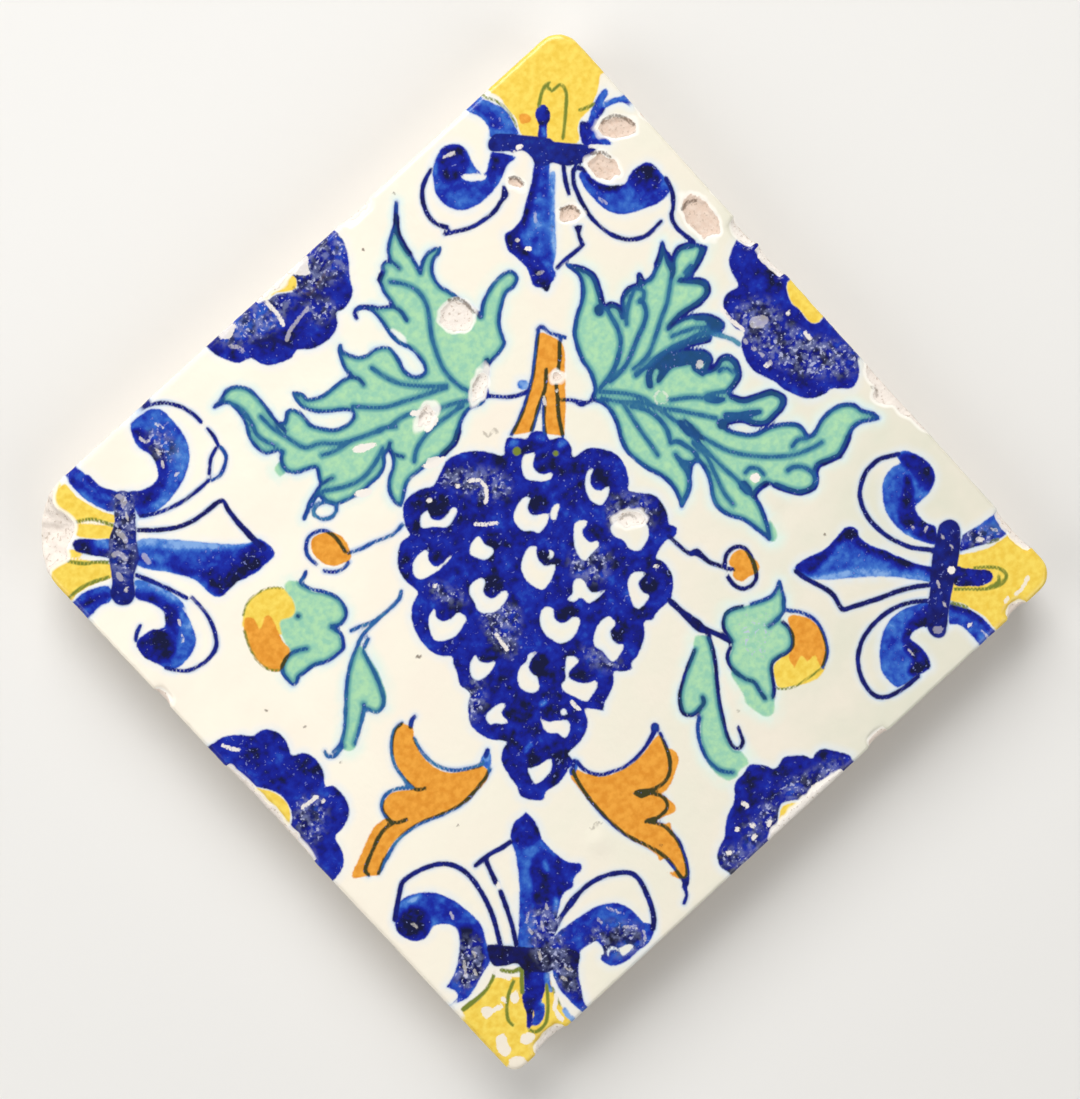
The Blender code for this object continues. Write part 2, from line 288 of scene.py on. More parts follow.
    # The lily at the right corner
    right_lily: str = """
    YELLOW 1
    73.4,2.4 75.4,3.1 78,3.8 80,4.6 82,6.2 83.2,6.9 85.1,6.8 94,2 94,-3 88.4,-6 84,-8.6 81.4,-9.8 79.4,-8 \
      77,-6.6 75,-5.6 73,-5.2 73,-2.8
    BLUE .45
    62.3,19.9 63.5,20.7 65,20.4 66.8,19.7 68.2,18.6 69.1,17 69.2,15.4 68.4,13.6 67,12 66,11 66.6,9.6 68,8.2 \
      69.8,7.6 70,4.6 68,4.8 66,5.4 64,6.4 62.2,8 60.8,10 60.2,12.4 60,14.6 60.6,16.4 61.8,17.8 63,18.4 \
      62.6,19.2
    BLUE 1.05
    62.8,19.8 64,20.4 66.8,19.6 68.2,18.5 69.1,17 69.1,15.4 68.2,13.8 66.6,14 65.8,16.4 64,17.6 63,18.6
    64,16.4 65.6,14.4 65.6,12 66.2,10 68,8.2 69.8,7.4 70,4.8 67.4,5.2 64.6,7 63,9.6 63.6,12.6
    INK .95 1
    62.6,20 61,19.6 59,18.8 57.2,17 56.3,14.8 56.1,12.4 56.9,10 58.5,7.8 60.8,5.9 63.2,4.6 66,3.7 69.4,3.5
    69.2,-5.4 66,-5.9 63,-7.1 60.5,-9 58.6,-11.3 57.4,-14 57.2,-17 58.2,-20 60,-22.2 62,-22.8 64,-22 \
      66,-20.6 68,-18.8
    BLUE .15
    45.2,-.6 47,1 49.9,2.5 52,4.6 53.6,6.6 54.8,7 56,6.4 56.6,5 58.6,3.8 61.5,2.9 64.5,1.7 67.5,.8 70,.3 \
      70,-2 67,-1.9 63,-1.5 59,-1.6 55.5,-2 52,-2.4 49.5,-2.6 46.4,-2.2
    BLUE .55
    45.2,-.6 47,1 49.9,2.5 52,4.6 53.6,6.6 54.8,7 56,6.4 56.6,5 58.6,3.8 61.5,2.9 64.5,1.7 67.5,.8 70,.3 \
      70,-1.4 67,-1 63,-.4 59,-.2 55.5,-.4 52,-1.2 49,-2 46.4,-2
    BLUE 1.1
    45.2,-.6 47,1 49.9,2.5 52,4.6 53.6,6.6 54.8,7 56,6.4 56.6,5 58.6,3.8 61.5,2.9 64.5,1.7 67.5,.8 70,.3 \
      70,-.6 66,.2 61.4,1.4 58,2.4 55.6,4 54.2,4.6 52.4,3 50.6,1 49.4,-.6 47.6,-1.8
    INK 1 1.05
    45.4,-1.2 46.6,-2.1 48.4,-3 50.4,-3.9 52.2,-5.1 53.2,-6.6 54,-7.6 55.2,-7.3 57.6,-6.4 60.6,-5.3 64,-3.9 \
      67,-3 69.4,-2.7
    INK .9
    70.2,7.6 71,8.6 72.3,9.1 73.6,8.6 74.2,7.4 74.4,5 74.2,2 73.6,-2 73,-6 72.8,-9.4 72.4,-11.4 71.2,-12 \
      69.8,-11.4 69,-9.8 69,-7 69.2,-3 69.2,1 69.6,4
    BLUE .5
    74.2,3.4 74.6,6 76,7.2 78,8.6 80.4,10.4 81,9 82.6,7.4 81.6,6.2 80,5.4 77.6,4.6 75.6,4
    73,-5.8 75,-6.2 77,-7 79,-8.2 80.6,-9.8 81.6,-10.8 80.4,-12.2 79.2,-13.4 78,-12.2 76.4,-10.6 74.6,-9.4 \
      73,-9.2
    BLUE 1 1
    74.6,4 77,4.9 79.6,5.8 81.4,6.8
    75,6 77,6.8
    73.4,-6.3 76,-7 78.4,-8.3 80.6,-10.4
    BLUE 1.05
    73.6,.8 75,.6 77,.5 79.4,.4 80.4,-.4 80,-1.6 78.4,-2.4 76.5,-2.6 73.5,-2.4
    OLIVE .9 .75
    77,.7 79.6,.9 81.6,.7 82.8,-.4 82.2,-1.7 80.6,-2.6 78.6,-3 76,-3.1 73.8,-3.2
    73.2,-5.6 76,-6.3
    OLIVE .4 .7
    79.8,-2.6 81.4,-1.6 81.4,-.6
    79.2,5.2 81,5.9
    BLUE .45
    69.2,-5.8 67,-6.2 65,-7 63,-8.5 61.6,-10.6 61,-13.2 61,-16 61.6,-18.4 63,-20 64.4,-20.9 65.8,-20.2 \
      67.4,-18.9 69,-18 70.1,-17.2 69.8,-15.8 68.8,-14.2 67.4,-13 66.2,-12.2 66.8,-11 68,-10.2 69.2,-9.8
    BLUE 1.1
    69.4,-6.2 67.4,-7.4 65.8,-9.4 64.8,-12 65.4,-14.4 67,-16 66,-18 67.4,-18.7 69,-17.8 70.1,-17.1 \
      69.8,-15.8 68.8,-14.2 67.4,-13 66.2,-12.2 66.8,-11 68,-10.2 69.4,-9.8
    SCUFF 1 1.3
    72.8,.1 72.9,.1
    SCUFF .3 1.3
    70.8,-10.6 71.4,-10.4
    SCUFF .8 .7
    86.6,-.6 85.6,-2.6 84.6,-3.6
    83.2,-4.4 82.8,-5
    77.4,5.8 78.2,5.6
    76.4,-9.6 76.9,-9.3
    SCUFF .5 .45
    65.4,7.6 66,7
    67.8,6.6 68.2,7.4
    70.8,6.4 71.2,5.6
    72.6,4.6 73,3.6
    70.6,-2 71,-3
    71.8,-5.6 72.2,-6.4
    67.2,-11.6 67.8,-11
    66,-14.2 66.8,-15
    79.8,7.6 80.6,7.4
    78.8,-10.4 79.6,-11
    """

    # The lily at the bottom corner
    bottom_lily: str = """
    YELLOW 1
    -4.2,-74.6 -5.6,-77 -7.4,-79 -9.6,-80.4 -5,-88 0,-93 5,-88 10,-82 8.4,-80 7,-78 6,-76 5,-74.4
    BLUE .55
    -2.3,-50.5 -2.4,-48.5 -1.8,-47 -.6,-46 0,-45.4 .8,-46 1.8,-47 2.5,-48.5 3,-50 4.3,-51.3 6.3,-52.9 \
      8,-53.9 10,-54 10.2,-55.2 9.4,-56 8.9,-57 8.8,-58.2 7.5,-59 7,-60 6.7,-61.5 6.2,-63.5 5.6,-65.5 \
      5.3,-67 5,-70 -.3,-70 -.3,-66 -.4,-62 -.6,-58 -1,-55 -1.5,-52.5 -2.2,-51
    BLUE 1
    -2.3,-50.2 -2.4,-48.5 -1.8,-47 -.6,-46 0,-45.4 .8,-46 1.8,-47 2.5,-48.5 2.8,-50.2 1,-51.4 -.8,-51
    3,-52 5,-52.4 8,-54 10,-54 10.2,-55.2 9.4,-56 8.9,-57 8.8,-58.2 7.5,-59 7,-60 6.2,-63.5 5.4,-69 2.4,-69 \
      2.6,-64 1.6,-58 1.4,-54
    BLUE .35
    3.6,-54 4.6,-54.6 4.4,-55.8 3.4,-55.2
    6,-59.6 6.6,-61.6 5.8,-63.6 5.6,-61
    INK .95 1.05
    -2.4,-50.6 -4,-51.8 -6,-53 -8.3,-55
    -6.5,-54.2 -5.6,-56 -4.6,-58
    -3.8,-59.4 -2.8,-61.8 -1.6,-65 -.6,-68.6
    -3.4,-68.8 -4.2,-66 -5.3,-63 -6.9,-60 -8.8,-57.4 -11,-55.6 -13.5,-54.9 -16,-55.3 -18.2,-56.3 -20,-57.5 \
      -21,-58.5 -21.4,-60.5 -21.8,-63 -22,-65
    5.6,-66.5 6.5,-64.5 7.6,-62.5 8.6,-61,1.5 9.8,-59.4 11.5,-57.7 13.5,-56.4 16,-55.5 18.5,-55.3 20,-56 \
      21,-57.3 22,-59.3 22.9,-61.5 23.3,-63.5 23.2,-65
    BLUE .7
    -21.8,-62.5 -20.5,-61.2 -19,-60.4 -17,-60 -15,-60.1 -12.8,-60.8 -10.8,-62 -9,-63.3 -7.6,-64.6 -6.6,-66 \
      -6.1,-67.8 -5.6,-69.2 -5,-71 -5.4,-72.5 -6.3,-74 -7.2,-75.8 -8.3,-77.8 -9.5,-78.8 -11.2,-79.3! \
      -10.5,-78.2 -10.8,-77.2 -12.6,-76.5! -12,-75.6 -11.2,-74 -10.7,-72 -10.5,-70 -10.6,-68 -11,-66.5 \
      -12,-65.6 -13.5,-65.4 -15,-65.7 -15.6,-66.5 -16,-67.4 -17,-68.3 -18.6,-68.6 -20.3,-68 -21.5,-67 \
      -22,-65.4
    5.5,-69.4 6,-67 7.5,-65.5 9,-64.3 11,-62.8 13,-61.5 15,-60.8 17,-60.8 19,-61.6 20.5,-63 21.5,-64 \
      23,-64.3 23.3,-66 22.5,-67.6 21,-68.8 19.5,-70.3 17.8,-71.4 16.3,-71.8 15,-71.3 14.3,-70.3 15,-69.6 \
      14.4,-68.4 13.2,-67.5 12.3,-68 11.3,-68.7 10.6,-69.6 10.5,-71.5 10.5,-73.5 11,-75.5 11.6,-78 12,-79.2 \
      11.2,-79.8 10,-79 8.6,-77.6 7.3,-76.2 6.5,-74.6 5.8,-72.8
    BLUE 1.2
    -21.6,-65 -20.4,-63.4 -18.4,-62.6 -16.4,-63.4 -15.6,-65.4 -16,-67.2 -17.2,-68.2 -18.6,-68.5 -20.3,-67.9 \
      -21.4,-66.8
    -10.4,-66 -8,-65.8 -6.4,-69 -6.2,-73 -7.4,-75.4 -9.4,-76.6 -10.4,-74 -10.4,-70
    7,-69.4 10.4,-69.6 10.4,-73.6 11.4,-77.8 10.6,-78.6 8,-75.6 6.6,-73
    14.2,-66.6 16.6,-65.6 19.6,-65.4 21.4,-66 20.6,-67.4 17.6,-67 15.6,-68.4
    BLUE .25
    -21.6,-62.6 -20,-61.2 -17.6,-60.6 -18.6,-61.8 -20.4,-62.8
    BLUE bare
    15.6,-70.2 16,-69 17.6,-69.3 18,-70 18.8,-69.6 20,-68.2 19,-67.8 17.4,-68.6 16,-68.2 15.2,-69.2
    INK 1.1
    -5.8,-69 -5,-68.7 0,-68.9 5,-68.9 9,-69.2 10.5,-69.8 10.5,-71 9.5,-72 6,-73 4.8,-73.4 1,-73.2 -.5,-72 \
      -2.5,-72.5 -4.2,-72.6 -5.2,-71.5
    BLUE 1
    1,-72.6 4.6,-72.6 4.8,-76 4.3,-78 3,-80 2.6,-83 1.9,-83.2 1.6,-80.5 .8,-78 1,-75.5
    BLUE .45
    3,-79.4 4.6,-78.6 4.8,-81 3.8,-82.6 2.8,-82.6 3,-81
    OLIVE .8 .75
    -.8,-75 -1.5,-77 -1.8,-79.5 -1.5,-81.8 -.6,-82.8
    5,-75.5 5.3,-78 5.4,-80.5 5,-82.5 3.6,-83.8 2.4,-83.6
    -4.2,-73.5 -4.6,-75 -5.6,-76.8 -7,-78.3,1 -8.2,-79.3,1.1 -9.4,-80.3,1
    OLIVE .4 .9
    -3,-73.2 -1,-73.4 .4,-72.8 .6,-75 .8,-77
    OLIVE .5 .6
    6,-76 6.8,-77.5 7.5,-79
    BLUE .2 .7
    8.3,-79.8 9,-80.8 9.7,-81.3
    5,-73.6 5.2,-75.4 5.8,-76.4
    SCUFF .9 .8
    -4.3,-58.1 -4.1,-58.6
    -2.6,-78.2 -2.2,-78.6
    -4.6,-73.4 -3.4,-74 -1.6,-74.6
    7,-80.4 8,-81.6
    6.6,-79.6 6.8,-77
    -4.2,-80.4 -2.8,-79.6
    SCUFF .45 .5
    -18.9,-65.6 -18,-66.2
    -12.4,-63.4 -11.8,-64.4
    -8.2,-70 -7.6,-71.2
    -9.6,-72 -9.2,-74.4
    -7.8,-73.4 -7.4,-74.2
    1.4,-65.6 2,-66.6
    4.2,-61.4 4.6,-62.2
    1.2,-63 1,-64.6
    3.6,-64.4 4,-66
    8,-72.2 9.2,-72.8
    7.6,-74 8.4,-74.6
    3.4,-69.8 3.8,-71
    15,-61.6 17.4,-62.4
    13.4,-63.6 14.2,-64.4
    18,-64.8 20.4,-65
    21.6,-65.4 22,-67
    """

    # The half rosettes at the middles of the four edges, with white scuffs, and a painted highlight on the
    # relief of the one at upper left
    rosettes: str = """
    BLUE .95
    34,58 33,57 31.5,54 31.3,51.5 32.5,49 33,48 31,46.5 30.5,45 31,43 33,40.5 34.5,40 34,38 35,35 37,33 \
      40,31.8 42,30.3 46,29 49,29.9 50.5,31 54,31.3 55,34.5 54.5,37 58,40 44,54 37,60
    57,-34 56.5,-33.2 52,-32.2 50.5,-33 50,-34 48,-33.5 45,-34 43.5,-36 41,-35.5 39,-35.5 38,-37 36.5,-39 \
      36.5,-42 35.3,-45 35,-48.5 34,-51 34.5,-53.5 36.5,-55 38,-58 50,-48 59,-37
    -57,-36 -55,-35.5 -53,-34.2 -50,-33.7 -48,-33.9 -46.5,-32.8 -44.5,-32.7 -42.5,-34 -41.5,-36 -41,-37 \
      -39,-36.5 -37,-37.3 -35.5,-39.5 -35,-42 -33.7,-42 -31.5,-44 -30.7,-46.5 -31.5,-49 -33,-51 -31.8,-53 \
      -31.3,-55.5 -32.5,-58 -35,-60 -46,-50 -58,-38
    -58.2,32.7 -56.9,31.8 -54.8,30.9 -53,30.6 -51.5,31.2 -50.8,31.5 -49.1,30.6 -47.3,30.4 -45.2,31.2 \
      -43.7,32.1 -43,33.3 -40.4,33.6 -38.3,34.8 -36.8,36.3 -36.2,38.1 -36.5,39.9 -35.3,40.8 -34.4,42 \
      -33.8,43.8 -34.4,46.2 -34.7,48.6 -35,50.4 -35.9,52.5 -36.7,53.3 -39,56 -50,46 -61,34
    BLUE bare
    42,49.5 44.5,48 47,44.5 47.8,42.7 46,42.2 44,44.3 42.5,45.5 41.5,48
    55.5,-36.2 50.7,-38.6 49.2,-41 46.5,-41.6 44.6,-42.6 44.4,-46.8 46.2,-46.6 49,-44.5 52,-47 59,-38
    -49,-42.4 -46.2,-42.8 -43.6,-43.4 -41.8,-44.8 -40.9,-46.3 -40.6,-48.1 -41.2,-49.9 -44,-52 -52,-44
    -49.4,42.2 -48.5,41.5 -47,42.6 -45.2,43 -43.5,43.6 -43.7,45.8 -45.1,46.2 -46,47.4 -51,45
    YELLOW 1
    42,49.5 44.5,48 47,44.5 47.8,42.7 46,42.2 44,44.3 42.5,45.5 41.5,48
    45,-42.8 46.5,-42 49,-42 50.4,-43.4 47.6,-46.6 45.2,-47.2 44.6,-45
    -48,-43.3 -46.2,-43 -43.8,-43.6 -42,-44.8 -41.1,-46.3 -40.8,-48.1 -41.4,-49.6 -43,-49.9
    -49.4,41.6 -51,44.4 -46.4,48.6 -44.8,46.9 -43.7,45.6 -43.7,43.8 -45.2,43.2 -47,42.9 -48.5,41.7
    BLUE .7
    -57,34.6 -54,34.6 -48,36.4 -46.6,39 -49,41.2 -53,40.4
    SCUFF .9 .7
    36.1,41.3 37,41.8
    41.9,43.6 42.1,43.9
    38.4,34.4 39.2,34.7
    45.1,40.4 46,39.6
    36.4,53.3 36.7,53.7
    30.2,44 32,42 34.3,40.4
    55,-36.4 50.7,-38.8 49.4,-41.3
    39.6,-52.3 43,-49
    42.7,-45.5 43,-45.4
    39.6,-46.1 39.9,-46
    -53,-35.7 -51,-36.3 -50.2,-36.3
    -38.9,-46 -37,-44.5 -36.4,-44
    -35.3,-44.7 -35.2,-44.6
    -48.8,41.4 -46.4,39 -45.6,37.5
    """

    # The big vine leaf at the left
    left_leaf: str = """
    GREEN 1
    -27,59.5! -26.9,57 -26.6,54.5 -25.6,52.5 -24.3,50.7 -23.2,49 -22.3,47.5! -22,49.5 -21.2,51 -20,51.8 \
      -19.2,52! -19.4,51 -20.2,50 -20.4,48 -19.8,46.5 -18.8,45.3 -17.2,44.5 -15,43 -12.3,41.3 -11.5,40.5 \
      -11.2,43 -9.8,46 -8,48 -6.6,48.5 -5.6,47.5 -6.2,46 -7.5,44.8 -8.2,42 -8.4,39.5 -7.6,37 -7.3,36 \
      -8.3,34.3 -9.6,32.8 -10.3,31 -10.5,26 -13,24.5 -14.2,22.5 -14.6,20.5 -15.2,18.5 -17,16.5 -19,15.2 \
      -21,13.5 -22.7,12 -23.4,10.5 -23.7,8.5 -24.1,7.2! -25,7.8 -26,9.5 -26.2,11.5 -25.5,14.5 -26.3,17! \
      -27.3,15.8 -27.2,14 -28,12.3 -29.5,10.8 -31,9.3 -33,8 -35,7! -36.6,7.2 -38.3,8.5 -39.3,7 -40.2,5.2 \
      -40.6,4.2! -39.8,6.8 -38.8,8.8 -38,10.3 -38.3,11.5 -38.8,13.2 -40.5,12.8 -42,12.2 -43.5,12.2 -44.5,13 \
      -45,14.5 -44.8,15.6 -46,15.7 -47.8,15.3 -49.5,16.5 -50.6,18 -51.2,20 -52,21.5 -53.3,23 -54.8,23.7 \
      -56.8,22.8! -55.5,24.5 -54.7,25.8 -53,26.4 -51,26 -49,24.3 -47.5,22.5 -46,20.7 -44.6,20.6 -44.3,22.3! \
      -43.5,22.9 -42,22.3 -41,21.3 -40,20.3 -38,19.8 -36,19.7 -34.5,20.3 -33.3,21.2 -32.6,22.3! -33,23.2 \
      -34.5,23.4 -37,23 -39.5,22.9 -41.5,23.5 -42.7,24.6 -43.3,25.8! -41.8,25.6 -41,24.8 -39.5,25 -38,25.7 \
      -36.5,27 -35,28.3 -33.5,29.3 -34.5,30.3 -35.3,32 -35.7,33.5 -35.6,34.4! -35.4,33.5 -34,32.8 \
      -32.5,32.4 -31,32.8 -29.8,33.8 -28.5,34.3 -27.2,34.3 -26.2,33.3 -25.3,32 -24.7,30.8 -23.7,29.9 \
      -22.5,29.5 -21.3,29.8 -20.6,30.5! -20.9,31.7 -21.8,33 -23,34.2 -24.3,34.9 -25.7,35.5 -27,36.8 \
      -28.3,38.5 -29.3,39.8 -30.5,40.8 -32,41.1 -33.3,40.6! -31,41.3 -29,41.2 -27,41.5! -27,42.2 -28.3,43.8 \
      -29,45.3 -29.3,46 -28.6,47.5 -29,48.3 -28.3,49.2! -27.6,49.3 -28,51 -27.8,53 -27.2,55 -27.1,57
    -46,12.6 -45,13.9 -44,12.6 -45,11.2
    GREEN bare
    -27,37.8 -25.5,37.2 -24.3,36.2 -24,35 -25.5,35.8 -27.2,37
    INK .55 .8
    -27,59.5! -26.9,57 -26.6,54.5 -25.6,52.5 -24.3,50.7 -23.2,49 -22.3,47.5! -22,49.5 -21.2,51 -20,51.8 \
      -19.2,52! -19.4,51 -20.2,50 -20.4,48 -19.8,46.5 -18.8,45.3 -17.2,44.5 -15,43 -12.3,41.3 -11.5,40.5 \
      -11.2,43 -9.8,46 -8,48 -6.6,48.5 -5.6,47.5 -6.2,46 -7.5,44.8 -8.2,42 -8.4,39.5 -7.6,37 -7.3,36 \
      -8.3,34.3 -9.6,32.8 -10.3,31 -10.5,26 -13,24.5 -14.2,22.5 -14.6,20.5 -15.2,18.5 -17,16.5 -19,15.2 \
      -21,13.5 -22.7,12 -23.4,10.5 -23.7,8.5 -24.1,7.2! -25,7.8 -26,9.5 -26.2,11.5 -25.5,14.5 -26.3,17! \
      -27.3,15.8 -27.2,14 -28,12.3 -29.5,10.8 -31,9.3 -33,8 -35,7! -36.6,7.2 -38.3,8.5 -39.3,7 -40.2,5.2 \
      -40.6,4.2! -39.8,6.8 -38.8,8.8 -38,10.3 -38.3,11.5 -38.8,13.2 -40.5,12.8 -42,12.2 -43.5,12.2 -44.5,13 \
      -45,14.5 -44.8,15.6 -46,15.7 -47.8,15.3 -49.5,16.5 -50.6,18 -51.2,20 -52,21.5 -53.3,23 -54.8,23.7 \
      -56.8,22.8! -55.5,24.5 -54.7,25.8 -53,26.4 -51,26 -49,24.3 -47.5,22.5 -46,20.7 -44.6,20.6 -44.3,22.3! \
      -43.5,22.9 -42,22.3 -41,21.3 -40,20.3 -38,19.8 -36,19.7 -34.5,20.3 -33.3,21.2 -32.6,22.3! -33,23.2 \
      -34.5,23.4 -37,23 -39.5,22.9 -41.5,23.5 -42.7,24.6 -43.3,25.8! -41.8,25.6 -41,24.8 -39.5,25 -38,25.7 \
      -36.5,27 -35,28.3 -33.5,29.3 -34.5,30.3 -35.3,32 -35.7,33.5 -35.6,34.4! -35.4,33.5 -34,32.8 \
      -32.5,32.4 -31,32.8 -29.8,33.8 -28.5,34.3 -27.2,34.3 -26.2,33.3 -25.3,32 -24.7,30.8 -23.7,29.9 \
      -22.5,29.5 -21.3,29.8 -20.6,30.5! -20.9,31.7 -21.8,33 -23,34.2 -24.3,34.9 -25.7,35.5 -27,36.8 \
      -28.3,38.5 -29.3,39.8 -30.5,40.8 -32,41.1 -33.3,40.6! -31,41.3 -29,41.2 -27,41.5! -27,42.2 -28.3,43.8 \
      -29,45.3 -29.3,46 -28.6,47.5 -29,48.3 -28.3,49.2! -27.6,49.3 -28,51 -27.8,53 -27.2,55 -27.1,57 -27,59.5!
    INK 1 1.2
    -26.9,57 -26.6,54.5 -25.6,52.5 -24.3,50.7
    -29.3,46 -29,47
    -14.6,20.5 -15.2,18.5 -17,16.5
    -10.1,33 -10.4,28
    INK .3 .75
    -11,26.5 -12,27 -15,28.5 -17.5,31 -19,34 -20,37 -20.5,40 -21.2,42.5 -22.8,44.5 -25,45.5 -27.5,45.8
    -17,28.3 -21,28 -25,28.3 -28,29.5 -30,30.8
    -17,28 -20,26.8 -24,25.3 -28,24 -33,24
    -12,26 -15,25.5 -20,23.5 -23.5,23 -26.5,20.8
    -14,25 -19,21 -21.5,17.5 -22,15
    -38,15.3 -36.5,15.8 -35,16.6 -33,18 -30,19.3 -27.5,20.5 -25.5,20.8
    -38,9 -34,10 -31,11.5 -29,14 -27.5,17
    -54,23.5 -52,22.5 -50.3,20.3 -49,18 -46,16.5
    -48.8,21.5 -46.5,19.5 -44,18 -41,16.5 -38.5,17.3 -35,17.5 -32,18.5 -28,20
    INK .8 .75
    -26.3,18 -26.5,17 -25.5,16 -24,15.7
    -33,39.2 -33.4,40.3 -32.5,41.2 -31,41.3 -29,41.2 -27,41.5 -25.5,40.8 -24.3,39.3
    -33.5,29 -32.2,28.8 -31.3,27.8
    -28.3,49.2 -27,49 -26,48.2
    -38,10.3 -36,11.5
    -46,20.5 -44.5,19.3
    SCUFF 1 1
    -20.3,23.4 -18.6,22.4 -20,20.6
    -22.6,23.2 -20.6,23.6
    SCUFF .8 .9
    -31.6,17 -30.4,17
    -19.4,15.2 -18,15.6
    -30.6,9 -30,9.3
    """

